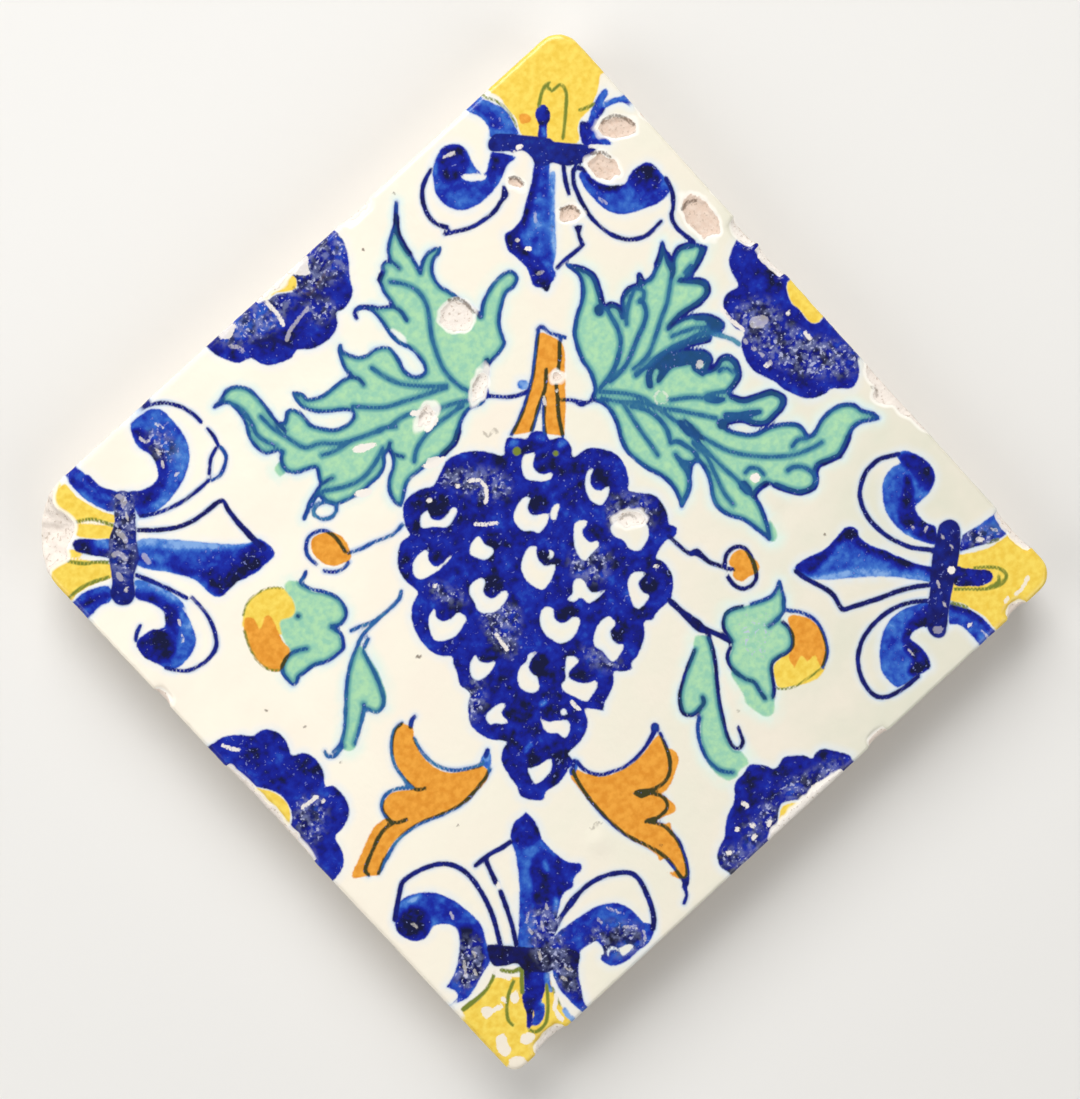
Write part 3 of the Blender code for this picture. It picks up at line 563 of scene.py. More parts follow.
    # The big vine leaf at the right
    right_leaf: str = """
    GREEN 1
    8.5,27.5! 8.9,28.8 8.1,31.5 6.4,33.9 5.2,36.8 4.8,38.8 5.2,41.7 5.8,43.7 6,45.8 5.6,47.8 5,48.8 \
      3.1,50.2! 5.6,49.8 7.7,48.6 8.7,46.4 9.3,43.9 10.1,43.2 10.8,43.8 11.9,43.6 12.8,42.7 13.1,41.8! \
      12.9,44.9 13.8,46.6 15.4,47.4 15.6,49.2! 16.3,48 17.5,48.4 18.3,49.8 18.9,51.9 19.4,54.8! 20,53.1 \
      21.2,51.5 21.7,52.8 22.3,54 23.6,54.7 24.9,54.8 27,54.4! 26.4,52.7 25.3,50.7 24.4,49.2 22.6,48.4! \
      24.4,48.6 26,48.8 27.5,48.3 27.9,46.6 27,45.2 25.2,43.8 23.2,42.4 21.6,40.9 21.1,40! 22,40.7 \
      23.6,41.8 26,42.5 28.5,42.5 30.6,41.4 30.2,40 28.6,39.6 28.3,38.4 26,37.6 23.6,36.6 21.2,35.5! 23,36 \
      25.2,36.4 27.8,36.3 28.9,35.1 28.4,33.6 27.8,32.8! 28.9,33.1 30,33.9 30.5,35.3 31.8,35.8 33.3,34.8 \
      34.1,32.7 33.5,31.1 32.3,29.4 32.6,28.8! 35,28.3 37.5,29.3 39.9,30 42.1,28.9 41.7,27 40.8,26.1 \
      39.2,24.4 37.1,24 34.7,24.6 32.3,24.2! 32.1,23 34.7,22.3 37.1,22.3 39.6,23.6 42.1,24.3 44.5,24.3 \
      45.8,23.2 46.2,22.1! 47.5,22.9 48.8,25.4 50.6,27.3 52.5,28.2 54.3,28.2 55.8,27.3 57.6,26.9 58.7,26.2! \
      57.6,25.8 55.8,25.4 54.3,24.3 53.6,22.5 53.1,21.1 52.2,19.3 50.4,18.4 48.6,17.5 48,16 48.3,15.1 \
      48,13.6 46,12.4 43.7,12.6 41.2,13.5 39.6,14 38.4,13.1 37.5,11.6! 38.8,9.5 40,6.6 40.5,4.2! 38.4,5.8 \
      35.9,7.4 33,8.2 31,9.7 30.2,11.5 29.8,13.6 29,15.6 27.4,17.4 26.2,16.6! 26,14.8 26.1,12.4 24.9,9.2! \
      24.4,10.7 23.2,12.7 21.2,14.4 18.3,15.8 15.4,17.9 14.6,18.9 13.8,20.5 13,23 11.7,25.4 10.1,26.7 9,27
    INK .6 .95
    round
    INK .85 1.3
    4.4,49.9 6,49.5 7.7,48.4 8.7,46.2 9.3,43.9
    8.9,42.7,1.9 9,42.4,1.7
    10.1,43.1 11,43.7 12.4,43.2 13.2,41.7
    13,45,.9 13.9,46.5 15.4,47.2 16.4,47.8
    15.6,49 15.9,48.4
    18.6,51 19.2,52.6 19.4,53.9
    20.2,52.9 21,51.4,1.8 21.4,50,1.2 21.2,48.6,.7
    21.8,53.2 22.6,54.2 24.6,54.7
    26.6,54 26,52.2 25,50.4 24,49
    23,48.5 25,48.5 27,48.2 27.7,46.8 26.8,45.2 25,43.8 23,42.3 21.4,40.4
    26,42.2 28.4,42.1 29.8,41.4
    28.6,41.1,2 29.6,40.9,1.9
    28.2,38.4 26,37.8 23.6,36.8 21.6,35.8
    18.4,30 18.1,31.5 18.8,33.4 20.4,34.6 22.4,35.4 25.2,35.8 27.6,35.8 28.5,34.9 28.1,33.4
    19.8,30.8,.9 20.4,32 21.8,33.6 23.8,34.2 25.6,34.4 26.2,33.4 27.4,32.6
    20,33.4,1.6 22,34.6 24.6,35.2 27.2,34.9,1.8
    28.6,33.1 29.9,33.9 30.5,35.1 31.8,35.5 33.1,34.6 33.8,32.7 33.3,31.2 32.2,29.6
    32.8,28.7 35,28.2 37.5,29.1 39.8,29.8 41.7,28.9 41.6,27.2 40.6,26 39.1,24.5 37.2,24.2 34.8,24.7 32.4,24.3
    31.3,23.9,2 31.6,23.9,1.9
    52.2,19.3 50.4,18.4 48.6,17.5 48,16 48.3,15.1 47.9,13.6 46,12.6 43.7,12.8 41.2,13.6
    39.5,13.8 38.4,13 37.4,11.7
    35.6,13.3,1.9 36.4,12.5,1.7
    53.6,22.6 53.1,21 52.2,19.4
    INK .6 1.5
    32,25.3 34,25.4 36,25.9 37.8,26.3,1
    28.6,28.2 30.2,28 31.4,28.2,.8
    INK .4 .95
    10.2,43 11.2,41.4 12.3,39.6 12.9,37.6 12.8,35.6 12.2,33.1 11,30.8 9.6,29
    16.2,44.9 17.1,42.9 16.9,40.9 15.8,38 14.8,35.1 13.6,32.7 11.4,30.4
    28.4,39.8 26.9,39.4 24.4,38.1 22,36.8 19.9,35.3 18,33.6 15.8,31.6
    15.4,26.3 17.9,25.7 20.3,24.2 21.8,22.2 22.4,20.1,.8
    22.4,20.1,.8 23.6,20.5 25.3,19.7 26.9,18.5 27.2,17.4 26,16.8 24.4,17.1 23.4,18.2
    24.4,16.8 25.8,14.8 26,12.4 24.9,9.8
    29,15.6 29.8,13.6 30.2,11.5 31,9.7
    43.8,20.5 44.7,21.7 46.2,22
    43.2,16.3 44.1,16.9 45.9,17 47.7,16 48.3,14.8
    INK .3 .8
    14.2,44.8 13.8,43 13.8,40.4
    14.4,45.2 15,46.6 16.4,46.4 16.6,45.2 15.8,44.4
    21.2,48.4 20.7,44.5 19.8,41.7 18.9,38.4 17.7,35.1 15.4,32.7
    28,40.5 26,40.4 24,39.7 21.8,38.7
    9.5,28.5 14.2,28.4 17.5,27.6 19.4,26.4 24,25.8 27.3,25.3 30.2,24.8
    10,27.3 13.4,26.9 17.6,26.8 21,25.4 24,23.4 29,20.9 32.2,19.4 34.7,18.8 38.8,18.5 42.9,18.8 45.6,19.6 \
      48,20.8 49,21.5
    22,27.6 25.7,28.3 28.4,28.2
    32.4,29.7 30.4,29.3 28.4,28.8
    23.4,24 25.7,22 29,18.9 32.2,16 34.7,14 36.6,12
    26.4,20.4 28.8,18.2 30.6,14.8 32.2,11.9 33.9,9.9
    13.8,26.7 16.7,22.6 18.7,20.1 20.3,17.9
    24.6,51.2 23.6,49.8
    35.8,15.6 36.6,16.4 38,16.3 39,15.4
    33,32.8 31.6,33.6 30.4,33
    INK .9 .5
    23.8,24 26,22.4 27.2,21
    24.6,24.2 26.8,22.6 28,21.2
    24.2,23 25.6,21.8
    INK .15 1
    28.8,39.5 30.5,39.2 32.6,38.6 33.6,37.9
    SCUFF 1 1.7
    37.5,14.7 37.6,14.8
    SCUFF .6 1.2
    26.8,33.9 27,34.3
    SCUFF .5 .4
    19.3,28.2 20,29 21,28.9 21.5,28 21,27.1 20,26.9 19.4,27.5 19.3,28.2
    GREEN .5
    40.3,7.4 41.4,6.2 41.9,4.8 41.3,3.8 40.2,4.2
    """

    # The bunch of grapes with a bare crescent on each grape
    grapes: str = """
    BLUE .95
    -17.7,12.5 -16.5,15.2 -15,16.3 -13,17 -10.8,17.3 -8.5,17 -7,16.6 -6,17.3 -5.5,19 -4.5,19.8 -2,19.8 \
      -1,20.9 .5,20.9 1,19.5 3.5,20 4.8,19.2 5.2,17.5 5.8,17 7,18 8.5,18.6 10.5,18.6 12.5,18 14,16.8 15,15 \
      15.5,12.8 15.5,11.5 18.5,11.2 20.3,10.8 21.5,9.5 22.5,7.5 22.8,6 24,5.6 24.3,4.8 23.8,3.8 22.3,3 \
      21.3,1.5 20.8,0 22,-.5 23.3,-2 24,-4 23.9,-6 23.8,-7 22.8,-8 21.3,-9.5 20.7,-10.8 19.3,-11.2 19.4,-13 \
      19.2,-15 18.3,-17.2 17.3,-18.5 17.4,-19.5 16,-20 14.3,-20.2 14.4,-22 13.8,-24 13,-25.5 12.8,-27! \
      9.5,-26.8! 10,-28.5 10.1,-30 9.6,-31.5 8.7,-33 7.3,-34.3 6.9,-34.9 7.6,-35.6 8.3,-36.8 7.2,-37.3 \
      6.6,-38.5 5.6,-40 4.2,-41 3.3,-41.8 3.2,-42.8 2.5,-43.2 0,-43 -1.2,-42.3 -1.6,-41 -3,-39.3 -4.2,-37.5 \
      -4.7,-36 -4.4,-34.3 -3.6,-33.1! -5,-32.9 -7,-32.7 -8.6,-31.9 -9.9,-30.9 -10.6,-29.5 -10.8,-27.5 \
      -10.7,-26 -10.3,-25.2! -11,-24.4 -12.4,-23.5 -13,-21.5 -13.8,-19.8 -14,-18.7 -16,-18.6 -18,-17.7 \
      -19.8,-15.8 -21,-13.3 -21.4,-11.2 -21,-9.3 -20.4,-7.6 -22.5,-6 -23.9,-3.9 -24.2,-1.5 -23.7,.9 \
      -22.2,2.1 -23.1,3.9 -23.6,6 -23.5,7.5 -22.5,9 -20.7,10.2 -18.6,10.8
    BLUE 1.2
    .8,17.6 2.6,16.6 3,15 1.8,14.4 .4,14.2 -.6,15 -.9,16.4 -.2,17.4
    9.6,15 11.6,15 12.8,13.6 12.4,12.4 10.8,11.8 9.6,12.2 9,13.4
    -19,7.6 -17.6,9 -15.6,9 -14.8,7.6 -16,6 -17.6,5.4 -18.8,6.2
    -1.2,9.4 .8,9.8 2.2,8.6 1.4,7.2 -.8,7 -1.8,8
    8.6,5 10.6,5.4 11.8,4 10.8,2.8 9.2,2.8 8.2,3.8
    12.6,5.4 13.8,7.8 16,8.8 14.4,10 12,8.4 11.8,6.2
    -9.6,2.6 -8.4,4 -6.6,3.2 -6.4,1 -7.6,.8 -9,1.4
    -18.4,-1.6 -17,-.2 -15.2,0 -15,-1.2 -16.4,-2.6 -17.4,-2.8
    .4,.6 2,.6 3.8,-.6 3.8,-2 1.6,-2 .4,-.8
    -8.8,-5 -7,-4.2 -5.2,-5 -5.4,-6.8 -7,-7.8 -8.4,-7.8 -9,-6.8
    8.4,-4 10.4,-3.4 12.2,-4.4 11.6,-6 9.8,-6.2 8.8,-5.2
    19.4,-2.4 21,-3.4 21.2,-5.6 20,-6.6 18.6,-5.6 18.2,-4.4
    -16.8,-10.2 -15,-8.8 -12.8,-9.4 -12.6,-10.8 -14.4,-11.8 -16,-12.2
    3.6,-9.4 5.6,-8.6 7.6,-9.4 7.6,-10.8 5.4,-11.6 4.2,-11.6
    13.8,-10.4 15.8,-10.6 16.6,-12.6 15.4,-14.8 14.2,-14 13.6,-12.6 14.4,-11.6
    -9.2,-18.2 -7.2,-16.4 -5.4,-17 -5.6,-18.8 -7.6,-19.3
    0,-18 2.2,-17.6 3.4,-19.2 2.6,-21.2 .8,-21.6 -.2,-20.4 .2,-18.8
    7,-20 8.6,-18.6 10.6,-19.2 11.4,-21.2 9.6,-22 8,-22 6.6,-21.2
    -5,-28 -4,-26.5 -2,-25.8 0,-26.2 .6,-28 -.8,-29.5 -3.5,-29.3
    2.4,-28 3.2,-26.6 5,-26.2 5.4,-27.4 5.2,-28.8 3.6,-29.2
    .4,-37.2 -.4,-35.6 1.2,-34 3.4,-33.6 3.8,-35.4 2.4,-36.7
    BLUE bare
    -2.3,17.8 -3.2,16.5 -3.3,14.5 -2.7,13 -1.9,12.6 .5,12.5 1.8,13 1.9,14 .5,13.7 -.8,14.2 -1.4,15.3 \
      -1.2,16.8 -1.1,17.8
    8.8,15.2 8.1,14.5 7.8,12.5 8.2,10.8 9,9.5 10.5,8.8 11.4,9.3 12,11 12,12 11.3,11.8 10.5,11.3 9.5,11.6 \
      8.8,12.5 8.7,13.8 9.2,14.8
    -20.5,5.3 -20.2,3.5 -18.1,3.8 -16.3,3.7 -15.3,4.4 -14.2,6.8 -15,7.2 -16.3,5.5 -17.5,4.9 -18.7,5.3 \
      -19.3,6.6 -20.2,5.9
    -2.8,9.5 -4,7.7 -4.3,5.6 -2.8,3.8 -1,3.8 .2,3.5 1.4,5 1.6,6.8 .2,6.7 -1,6.5 -2.1,7.7 -1.6,9.4
    2,6.3 2.5,8.3 3.6,8.6 3.2,7 3,5.8
    6.2,5 6.5,1.4 7.7,-.7 8.6,-1 9.5,.2 10.7,1.7 10.4,2.6 9.2,2.3 8,3.2 7.7,4.4 8.6,5.6 8,6 6.8,5.8
    13.4,3.5 14.9,2.9 16.1,1.4 17.9,1.3 19.1,2.9 19.3,5 18.6,6.3 17.9,7.6 16.1,8 14,6.5 12.6,5
    -10.6,2.3 -11.5,1.1 -11.7,-.7 -10.3,-1.3 -8.8,-1.5 -7.6,-.4 -7.7,.4 -9.1,1.1 -10,2.2
    -19,-.4 -20.2,-.7 -21.4,-2.5 -21.4,-4.3 -20.4,-5.4 -19,-5 -16.6,-3.4 -14.8,-1.3 -15,-.9 -16.3,-2.5 \
      -17.5,-3.1 -18.7,-2.2
    -.1,1.1 -1.6,.8 -2.5,-1 -2.7,-2.8 -1.6,-4.9 .2,-6.1 1.4,-6.3 2.6,-4.6 3.2,-2.8 3.1,-1.9 1.4,-2.2 .2,-1 \
      -.1,.2
    2,.7 2.9,.1 2.6,-.8 1.8,-.9 2.2,-.1
    -9.7,-4.8 -11.2,-5.8 -11.5,-7.3 -10.6,-9.1 -9.7,-10.6 -8.2,-10.9 -6.4,-10.3 -5.1,-8.5 -4.8,-7 -5.8,-7 \
      -7,-8.1 -8.2,-8.2 -9.1,-7 -8.8,-5.4
    6.4,-5.2 6.5,-6.7 5.6,-7.9 6.8,-8.2 8,-7.5 9.5,-8.4 10.7,-7.6 11.6,-6.7 12.2,-5.8 11,-6.3 9.8,-6.4 \
      8.9,-5.5 8.3,-4.3 7.1,-4.2
    16.7,-2.8 16.1,-4.3 16.4,-6.4 17.3,-8.5 18.2,-9 19.1,-8.2 19.9,-6.7 18.5,-5.8 17.9,-4.6 18.4,-3.7 \
      19.1,-2.8 17.9,-2.5
    -17.5,-10.5 -18.4,-12.1 -18.1,-14.2 -17.2,-15.9 -15.7,-16 -13.6,-15.1 -12.4,-13.3 -11.7,-12.1 \
      -12.7,-11.1 -13.6,-11.2 -14.5,-12.1 -16,-12.6 -17.1,-11.8 -17.3,-10.6
    1.7,-9.4 1,-11.2 1.4,-13.3 2.9,-14.8 5,-15.6 6.5,-14.8 7.7,-13 8,-11.2 6.8,-10.9 5.6,-11.8 4.4,-12 \
      3.4,-10.9 3.2,-9.6
    12.8,-10.5 11.3,-11.8 10.6,-13.9 10.7,-15.7 12.2,-16.6 13.7,-18.3 14.6,-18.1 15.5,-16.6 15.8,-15.4 \
      14.6,-15.3 13.6,-14.2 13.4,-13 14.3,-11.8 13.4,-10.6
    -10,-18.1 -10.8,-19.9 -10.6,-21.7 -9.7,-22.6 -8.5,-22.3 -7,-20.8 -6.4,-19 -7.6,-19.5 -9.1,-19.3 -9.7,-18.4
    .8,-17.2 -.7,-17.8 -1,-19 -1.9,-19.9 -2.5,-21.4 -1.9,-23.5 -.4,-24.4 1.1,-24.1 1.4,-23.2 1,-21.7 \
      .2,-21.1 -.6,-19.9 -.1,-18.4
    5.9,-18 5.8,-19.9 5.9,-21.7 5.2,-22.9 5.9,-24 8,-25 9.8,-25.5 10.7,-24.4 11.5,-22.9 11.2,-21.9 \
      9.8,-22.3 8,-22.3 6.5,-21.4 6.7,-20.2 8.2,-18.7 7.7,-18 6.8,-17.7
    -7.5,-29.6 -7.6,-28.5 -6.5,-27.3 -5.2,-26.5 -4.3,-26.6 -4.6,-27.3 -5,-28 -4.4,-29 -3.8,-29.7 -4.8,-30.1 \
      -6,-30 -6.8,-30.3
    1.8,-28.4 2.2,-29 3.5,-29.4 4.8,-29.1 6.4,-29 7,-29.7 7.1,-30.8 6.5,-31.9 5.8,-31.9 5,-31.3 3.4,-31.3 \
      2.4,-30.4
    5.3,-27.4 5.9,-26.9 6.6,-27.7 5.6,-28.2
    0,-37.7 .8,-37.5 2.3,-36.8 3.9,-35.8 4.2,-36.5 4,-38 3,-39.3 1.6,-40.4 1,-39.8 .3,-38.6
    SCUFF .9 .7
    -12.3,12 -10.6,12.2 -9.4,11 -9.2,9.2 -9.4,8.4
    -14.3,11 -14.2,11.1
    -11,4.5 -9,4.6 -7.3,5
    -19.3,8.2 -18.9,8.4
    -6.5,-14.5 -4.5,-17
    -17.6,-6.5 -17.3,-6.4
    20.7,-1.5 21,-1.4
    7.2,-25.8 7.8,-26.4 8.6,-27
    BLUE .2 .8
    -.5,-34.6 .3,-33.6
    2,-26.4 2.6,-25.7
    """

    # The orange stalk, its tendrils and the collar of the bunch
    stalk: str = """
    ORANGE 1
    -1.2,38.3 2.3,37 3.2,35.5 3.5,31 3.8,27 3.8,24 3.9,20.5! .5,20.8! .2,23 0,26.5 -.3,27.2! -.6,26 \
      -1.3,23.5 -1.9,21! -5.4,20.2! -5,21.5 -3.8,24 -2.8,27 -2,31 -1.6,35
    INK .6 .75
    -1.6,38.8 -.9,39.3 .3,38.4 1.5,38 3.2,37.6
    -1.5,38.5 -1.7,36 -2.1,31 -2.7,28 -3.6,24.5 -4.8,21.5 -5.4,20.3
    2.3,37 2.4,34 2.2,31
    2,29.5 2.4,27 2.6,24.5 3.2,22 3.6,20.5
    .2,32 .2,29 -.2,27.5 -.8,25.5 -1.4,23 -1.9,21.2
    .1,27 .1,24 .3,21.5 .5,20.8
    SCUFF 1 1.6
    2,31 2,31.1
    SCUFF .7 .6
    -.1,27.2 .3,25.8
    2.2,28.3 2.3,28.4
    INK .8 .8
    -3,28 -4.5,27.2 -6.5,26.8 -8.5,26.9 -10,27,1.2 -10.2,27.5,1.5
    3.2,26.8 5,26.8 6.5,26.3,1.4 7.4,26.5 8.4,26.9
    BLUE .2
    -4.6,29.6 -3,29.8 -3,28.4 -4.4,28.4
    BLUE 1.05
    -6,19.8 -3,19.5 -1.8,21 .5,21 1.2,19.8 3.5,20.3 4.8,19.2 5,17.5 0,17.6 -6,16.6
    BLUE .5
    -1.4,20.4 .4,20.6 .8,19.6 -.8,19.2
    3,20 4.4,19.6 4,18.6 2.8,18.8
    -5.6,19.4 -4,19.4 -4.2,18.4 -5.6,18.2
    OLIVE 1
    -5.2,17.6 -4.2,18.4 -3.4,17.4 -4.4,16.6
    1.8,17.6 2.6,18 3.2,17.4 2.4,16.8
    """

    # The two berries, the two buds and their stems
    berries_and_buds: str = """
    ORANGE 1
    -39.2,-.6 -39,.9 -37.8,1.7 -36,2.1 -34.2,1.6 -33,.2 -32.2,-1.8 -32.5,-2.7 -33.9,-3.4 -35.4,-3.8 \
      -37.2,-3.2 -38.5,-2.1
    33.6,0 34.3,1.4 35.4,2.2 36.8,1.8 37.6,.9 38.6,.1 39,-.9 38.4,-2 37.2,-2.6 36,-3.4 34.7,-3 34.3,-2 \
      34.5,-1.3 33.8,-.8
    INK .6 .8
    -38.2,-3.6 -39.6,-2.4 -40.1,-.8 -39.8,.8 -38.8,1.8 -37.4,2.3 -36,1.9 -34.6,.7 -33.3,-1.2
    -36.8,-4.7 -35,-4.8 -33.5,-4.2 -32.6,-3
    INK 1 .95
    33,-1 32.9,.4 33.4,1.6 34.6,2.5 36,2.5 37,1.6 37.8,.2 38.4,-1.6 38.5,-3 37.6,-4.2 36.2,-4.7 34.8,-4.2 \
      33.6,-2.8
    33.4,-1.3 34.5,-1.4
    INK .4 .7
    -32.6,-1.4 -30.6,-.6 -28.5,.6 -26.4,1.5 -24.9,2.4 -23.6,3.9
    -31.7,-14.9 -30,-14 -27.6,-12.9 -25.2,-10.8 -23.6,-9 -23.3,-7.7
    -26.7,-12.3 -28.2,-13.8 -29.7,-15.6 -30.6,-17.7 -31.5,-20.4 -32,-23.5 -32.1,-28 -32.1,-31.6 -32.7,-34.6 \
      -33.9,-36.1
    -35.4,-36 -34.8,-36.9 -33.6,-36.8 -32.9,-35.8 -32.3,-35
    -29,-27.6 -28.8,-28.2 -28,-28.5 -26.8,-28.9 -26,-28.4 -25.5,-27.2 -25.8,-25.5 -26.8,-23 -28,-20.8 \
      -29.3,-18.5
    -28.9,-28.5 -29.2,-30.5 -29.8,-33 -30.2,-34.5
    -28.7,-16.2 -29.3,-17.7
    GREEN 1
    -29.7,-17.7 -28.8,-18.9 -27.3,-21 -25.8,-24 -25.2,-26 -25.2,-27.3 -25.8,-28.3 -26.8,-28.9 -27.8,-28.6 \
      -29,-28 -29.2,-29.5 -29.6,-31.5 -30,-33.5 -30.2,-35.2 -31.2,-35.8 -32.2,-35.3 -32.3,-33 -32.1,-31.6 \
      -32.1,-28 -32,-23.5 -31.5,-20.4 -30.6,-17.7
    -43.2,-6.9 -42,-6.6 -40.8,-6.9 -38.4,-8.4 -36,-8.7 -34.2,-9.3 -33,-10.8 -32.7,-12.3 -33.6,-13.8 \
      -34.8,-14.1 -33.9,-15.3 -33.2,-17 -33.3,-18.2 -35.1,-19.8 -37.5,-21 -39.2,-22.2 -40.5,-23.4 \
      -41.2,-24.5 -42.3,-23.8 -43.2,-22.4 -43.2,-20.9 -42,-18.9 -43.2,-17.1 -44.1,-13.8 -42,-12.9 \
      -41.4,-11.7 -42,-9.9 -43.5,-8.1
    28.3,-13.5 29.2,-13.2 30.8,-13.5 31.3,-15 31.6,-17.5 32,-20 32.4,-22.5 33,-25 33.8,-28 34.6,-30.5 \
      35.2,-32 36,-33 37.2,-33.2 38,-34 38.8,-35.2 37.6,-36.2 37,-37 36.8,-37.7 35.5,-38.4 34.5,-38.2 \
      33,-37.2 31.8,-35.8 30.8,-34 30.2,-31.8 30,-29.5 30,-27.5 29.5,-26.5 28.3,-27.2 27,-26.8 26.3,-25.5 \
      26.2,-23.5 26.7,-21 27.3,-18.5 28,-16 28.1,-14.5
    42.6,-3.2! 42,-5 40.8,-6.2 37.8,-7.4 34.5,-8.3 33.2,-9.2 33.2,-11 34,-12.8 34.8,-14.3 34.8,-15.5 \
      34.4,-17.2 35,-18.8 35,-20 36,-21.5 37.2,-23.2 37.8,-24.8 39.2,-25.8 40.8,-26.8 42,-26.9 42.8,-25.8 \
      42.7,-24 42.3,-22.2 42.1,-20 42,-17.9 42.9,-16.7 44.4,-15.8 45.3,-14.6 45.4,-12.8 44.4,-11 43.2,-10.1 \
      43.8,-8 43.5,-5.9
    YELLOW 1
    -50.4,-12.9 -49.8,-10.8 -48,-9 -45.9,-8 -43.6,-8 -42.2,-9.3 -41.4,-11.4 -41.6,-12.9 -43,-13.8 -43,-16 \
      -50,-15.4
    42.3,-18 43.3,-16.8 44.4,-15.5 48,-15.2 51,-15.6 51.4,-17.9 50.7,-19.3 48.5,-20.8 45.5,-21.5 43.5,-21.8 \
      42.7,-20.5
    ORANGE 1
    -50.1,-13.5 -48.6,-13.5 -47.4,-15.3 -46.5,-12.9 -45.3,-13.5 -44.1,-15.9 -42.9,-17.7 -41.7,-18.3 \
      -42,-19.2 -43.5,-22.2 -45.6,-22.2 -47.7,-20.7 -49.2,-18.3 -50.1,-15.6
    44.4,-9.5 45.9,-8.9 48.3,-9.5 50.1,-11 51.3,-13.4 51.6,-15.8 51,-17.9 50.1,-17 49.5,-15.8 48.3,-17! \
      47.1,-16.1 46,-18.2! 45,-16.4 45.5,-14 45,-11.6
    OLIVE .6 .55
    -50.4,-13 -49.8,-10.8 -48,-9 -45.9,-8 -43.8,-8
    -50.1,-15.6 -49.2,-18.3 -47.7,-20.7 -45.6,-22.2 -43.5,-22.2
    51,-17.9 49,-19.5 46.5,-21.3 44.2,-22 42.8,-21.8
    INK .6 .85
    -39.9,-5 -40.3,-6 -40.8,-6.9 -39,-7.9 -37.2,-8.2 -35.4,-8.7 -33.9,-9.6 -33,-10.8 -32.7,-12.3 \
      -33.6,-13.8 -35.1,-14.2
    -39.2,-18.3 -40.8,-18.7 -42.3,-19.6 -43.2,-21.1 -43.2,-22.6 -42.3,-23.8 -41.3,-24.6 -40.7,-24.1 \
      -40.5,-23.2 -39.3,-22.3 -37.8,-21.1 -35.7,-20.4 -34.2,-19.3 -33,-18.1 -33,-16.9 -33.3,-15.7 \
      -33.9,-15.1 -35.1,-14.4
    29.7,-27.5 29.5,-29.5 29.9,-31.7 30.8,-33.8 31.8,-35.3 33.2,-36.4 34.4,-36.9 36,-37
    43.8,-8 42.9,-9.5 41.2,-11
    42.6,-3.2 43.5,-5.9 43.8,-8 46.2,-8.3 48.6,-9.2 50.1,-10.7 51.3,-13.4 51.6,-15.5 51,-17.9
    42.6,-3.2 42,-5 40.8,-6.2 37.8,-7.4
    INK 1 .9
    -41,-12.8 -40.9,-12.7
    22.8,4 24.9,2.2 26.7,1 27.9,1.3,1.6 30,-.2 31.8,-.8 33.6,-1.4 34.5,-1.4
    23.5,-7.3,1.2 25.5,-9,1.3 27,-10.2,1.6 28.5,-11.3,2 29.3,-12,1.7 31.5,-12.6,1.1 33.5,-13.5,1.1 \
      34.5,-14,1.1
    28.3,-15.8 27.7,-17.6 27,-19.5 26.4,-21.8 26.1,-23.5 26.2,-25.2 26.7,-26.7 27.7,-27.3 28.9,-26.9 \
      29.8,-25.9 30.4,-25 30.1,-24
    30.6,-13.2 31.2,-14.8 31.8,-16.8 32.2,-19 32.6,-22 33,-24.5 33.8,-27.5 34.5,-30 35.2,-31.6 36.2,-32.7 \
      37.1,-32.6 37.5,-31.5 37.1,-30.2,.7 36.6,-29,.5
    34.6,-15 34.1,-16.6 34.6,-18.2 36,-19.6 37.5,-20.5,.7 39,-21,.5 40.3,-22.8,.5 41.1,-23.8,.5
    43.5,-10.2,.7 44.6,-11.2,.8 45.4,-12.8,.9 45.4,-14.4,.9 44.6,-15.5,.8 43.3,-16.3,.7 42.2,-17.2,.7 \
      41.9,-18.5,.7 42.3,-20.5,.7 42.6,-22,.7 42.5,-23.5,.6
    36.5,-7.8,.6 34.5,-8.4,.7 33.3,-9.6,.8 33.2,-11.5,.9 34,-13,.9 34.8,-14,.8
    """

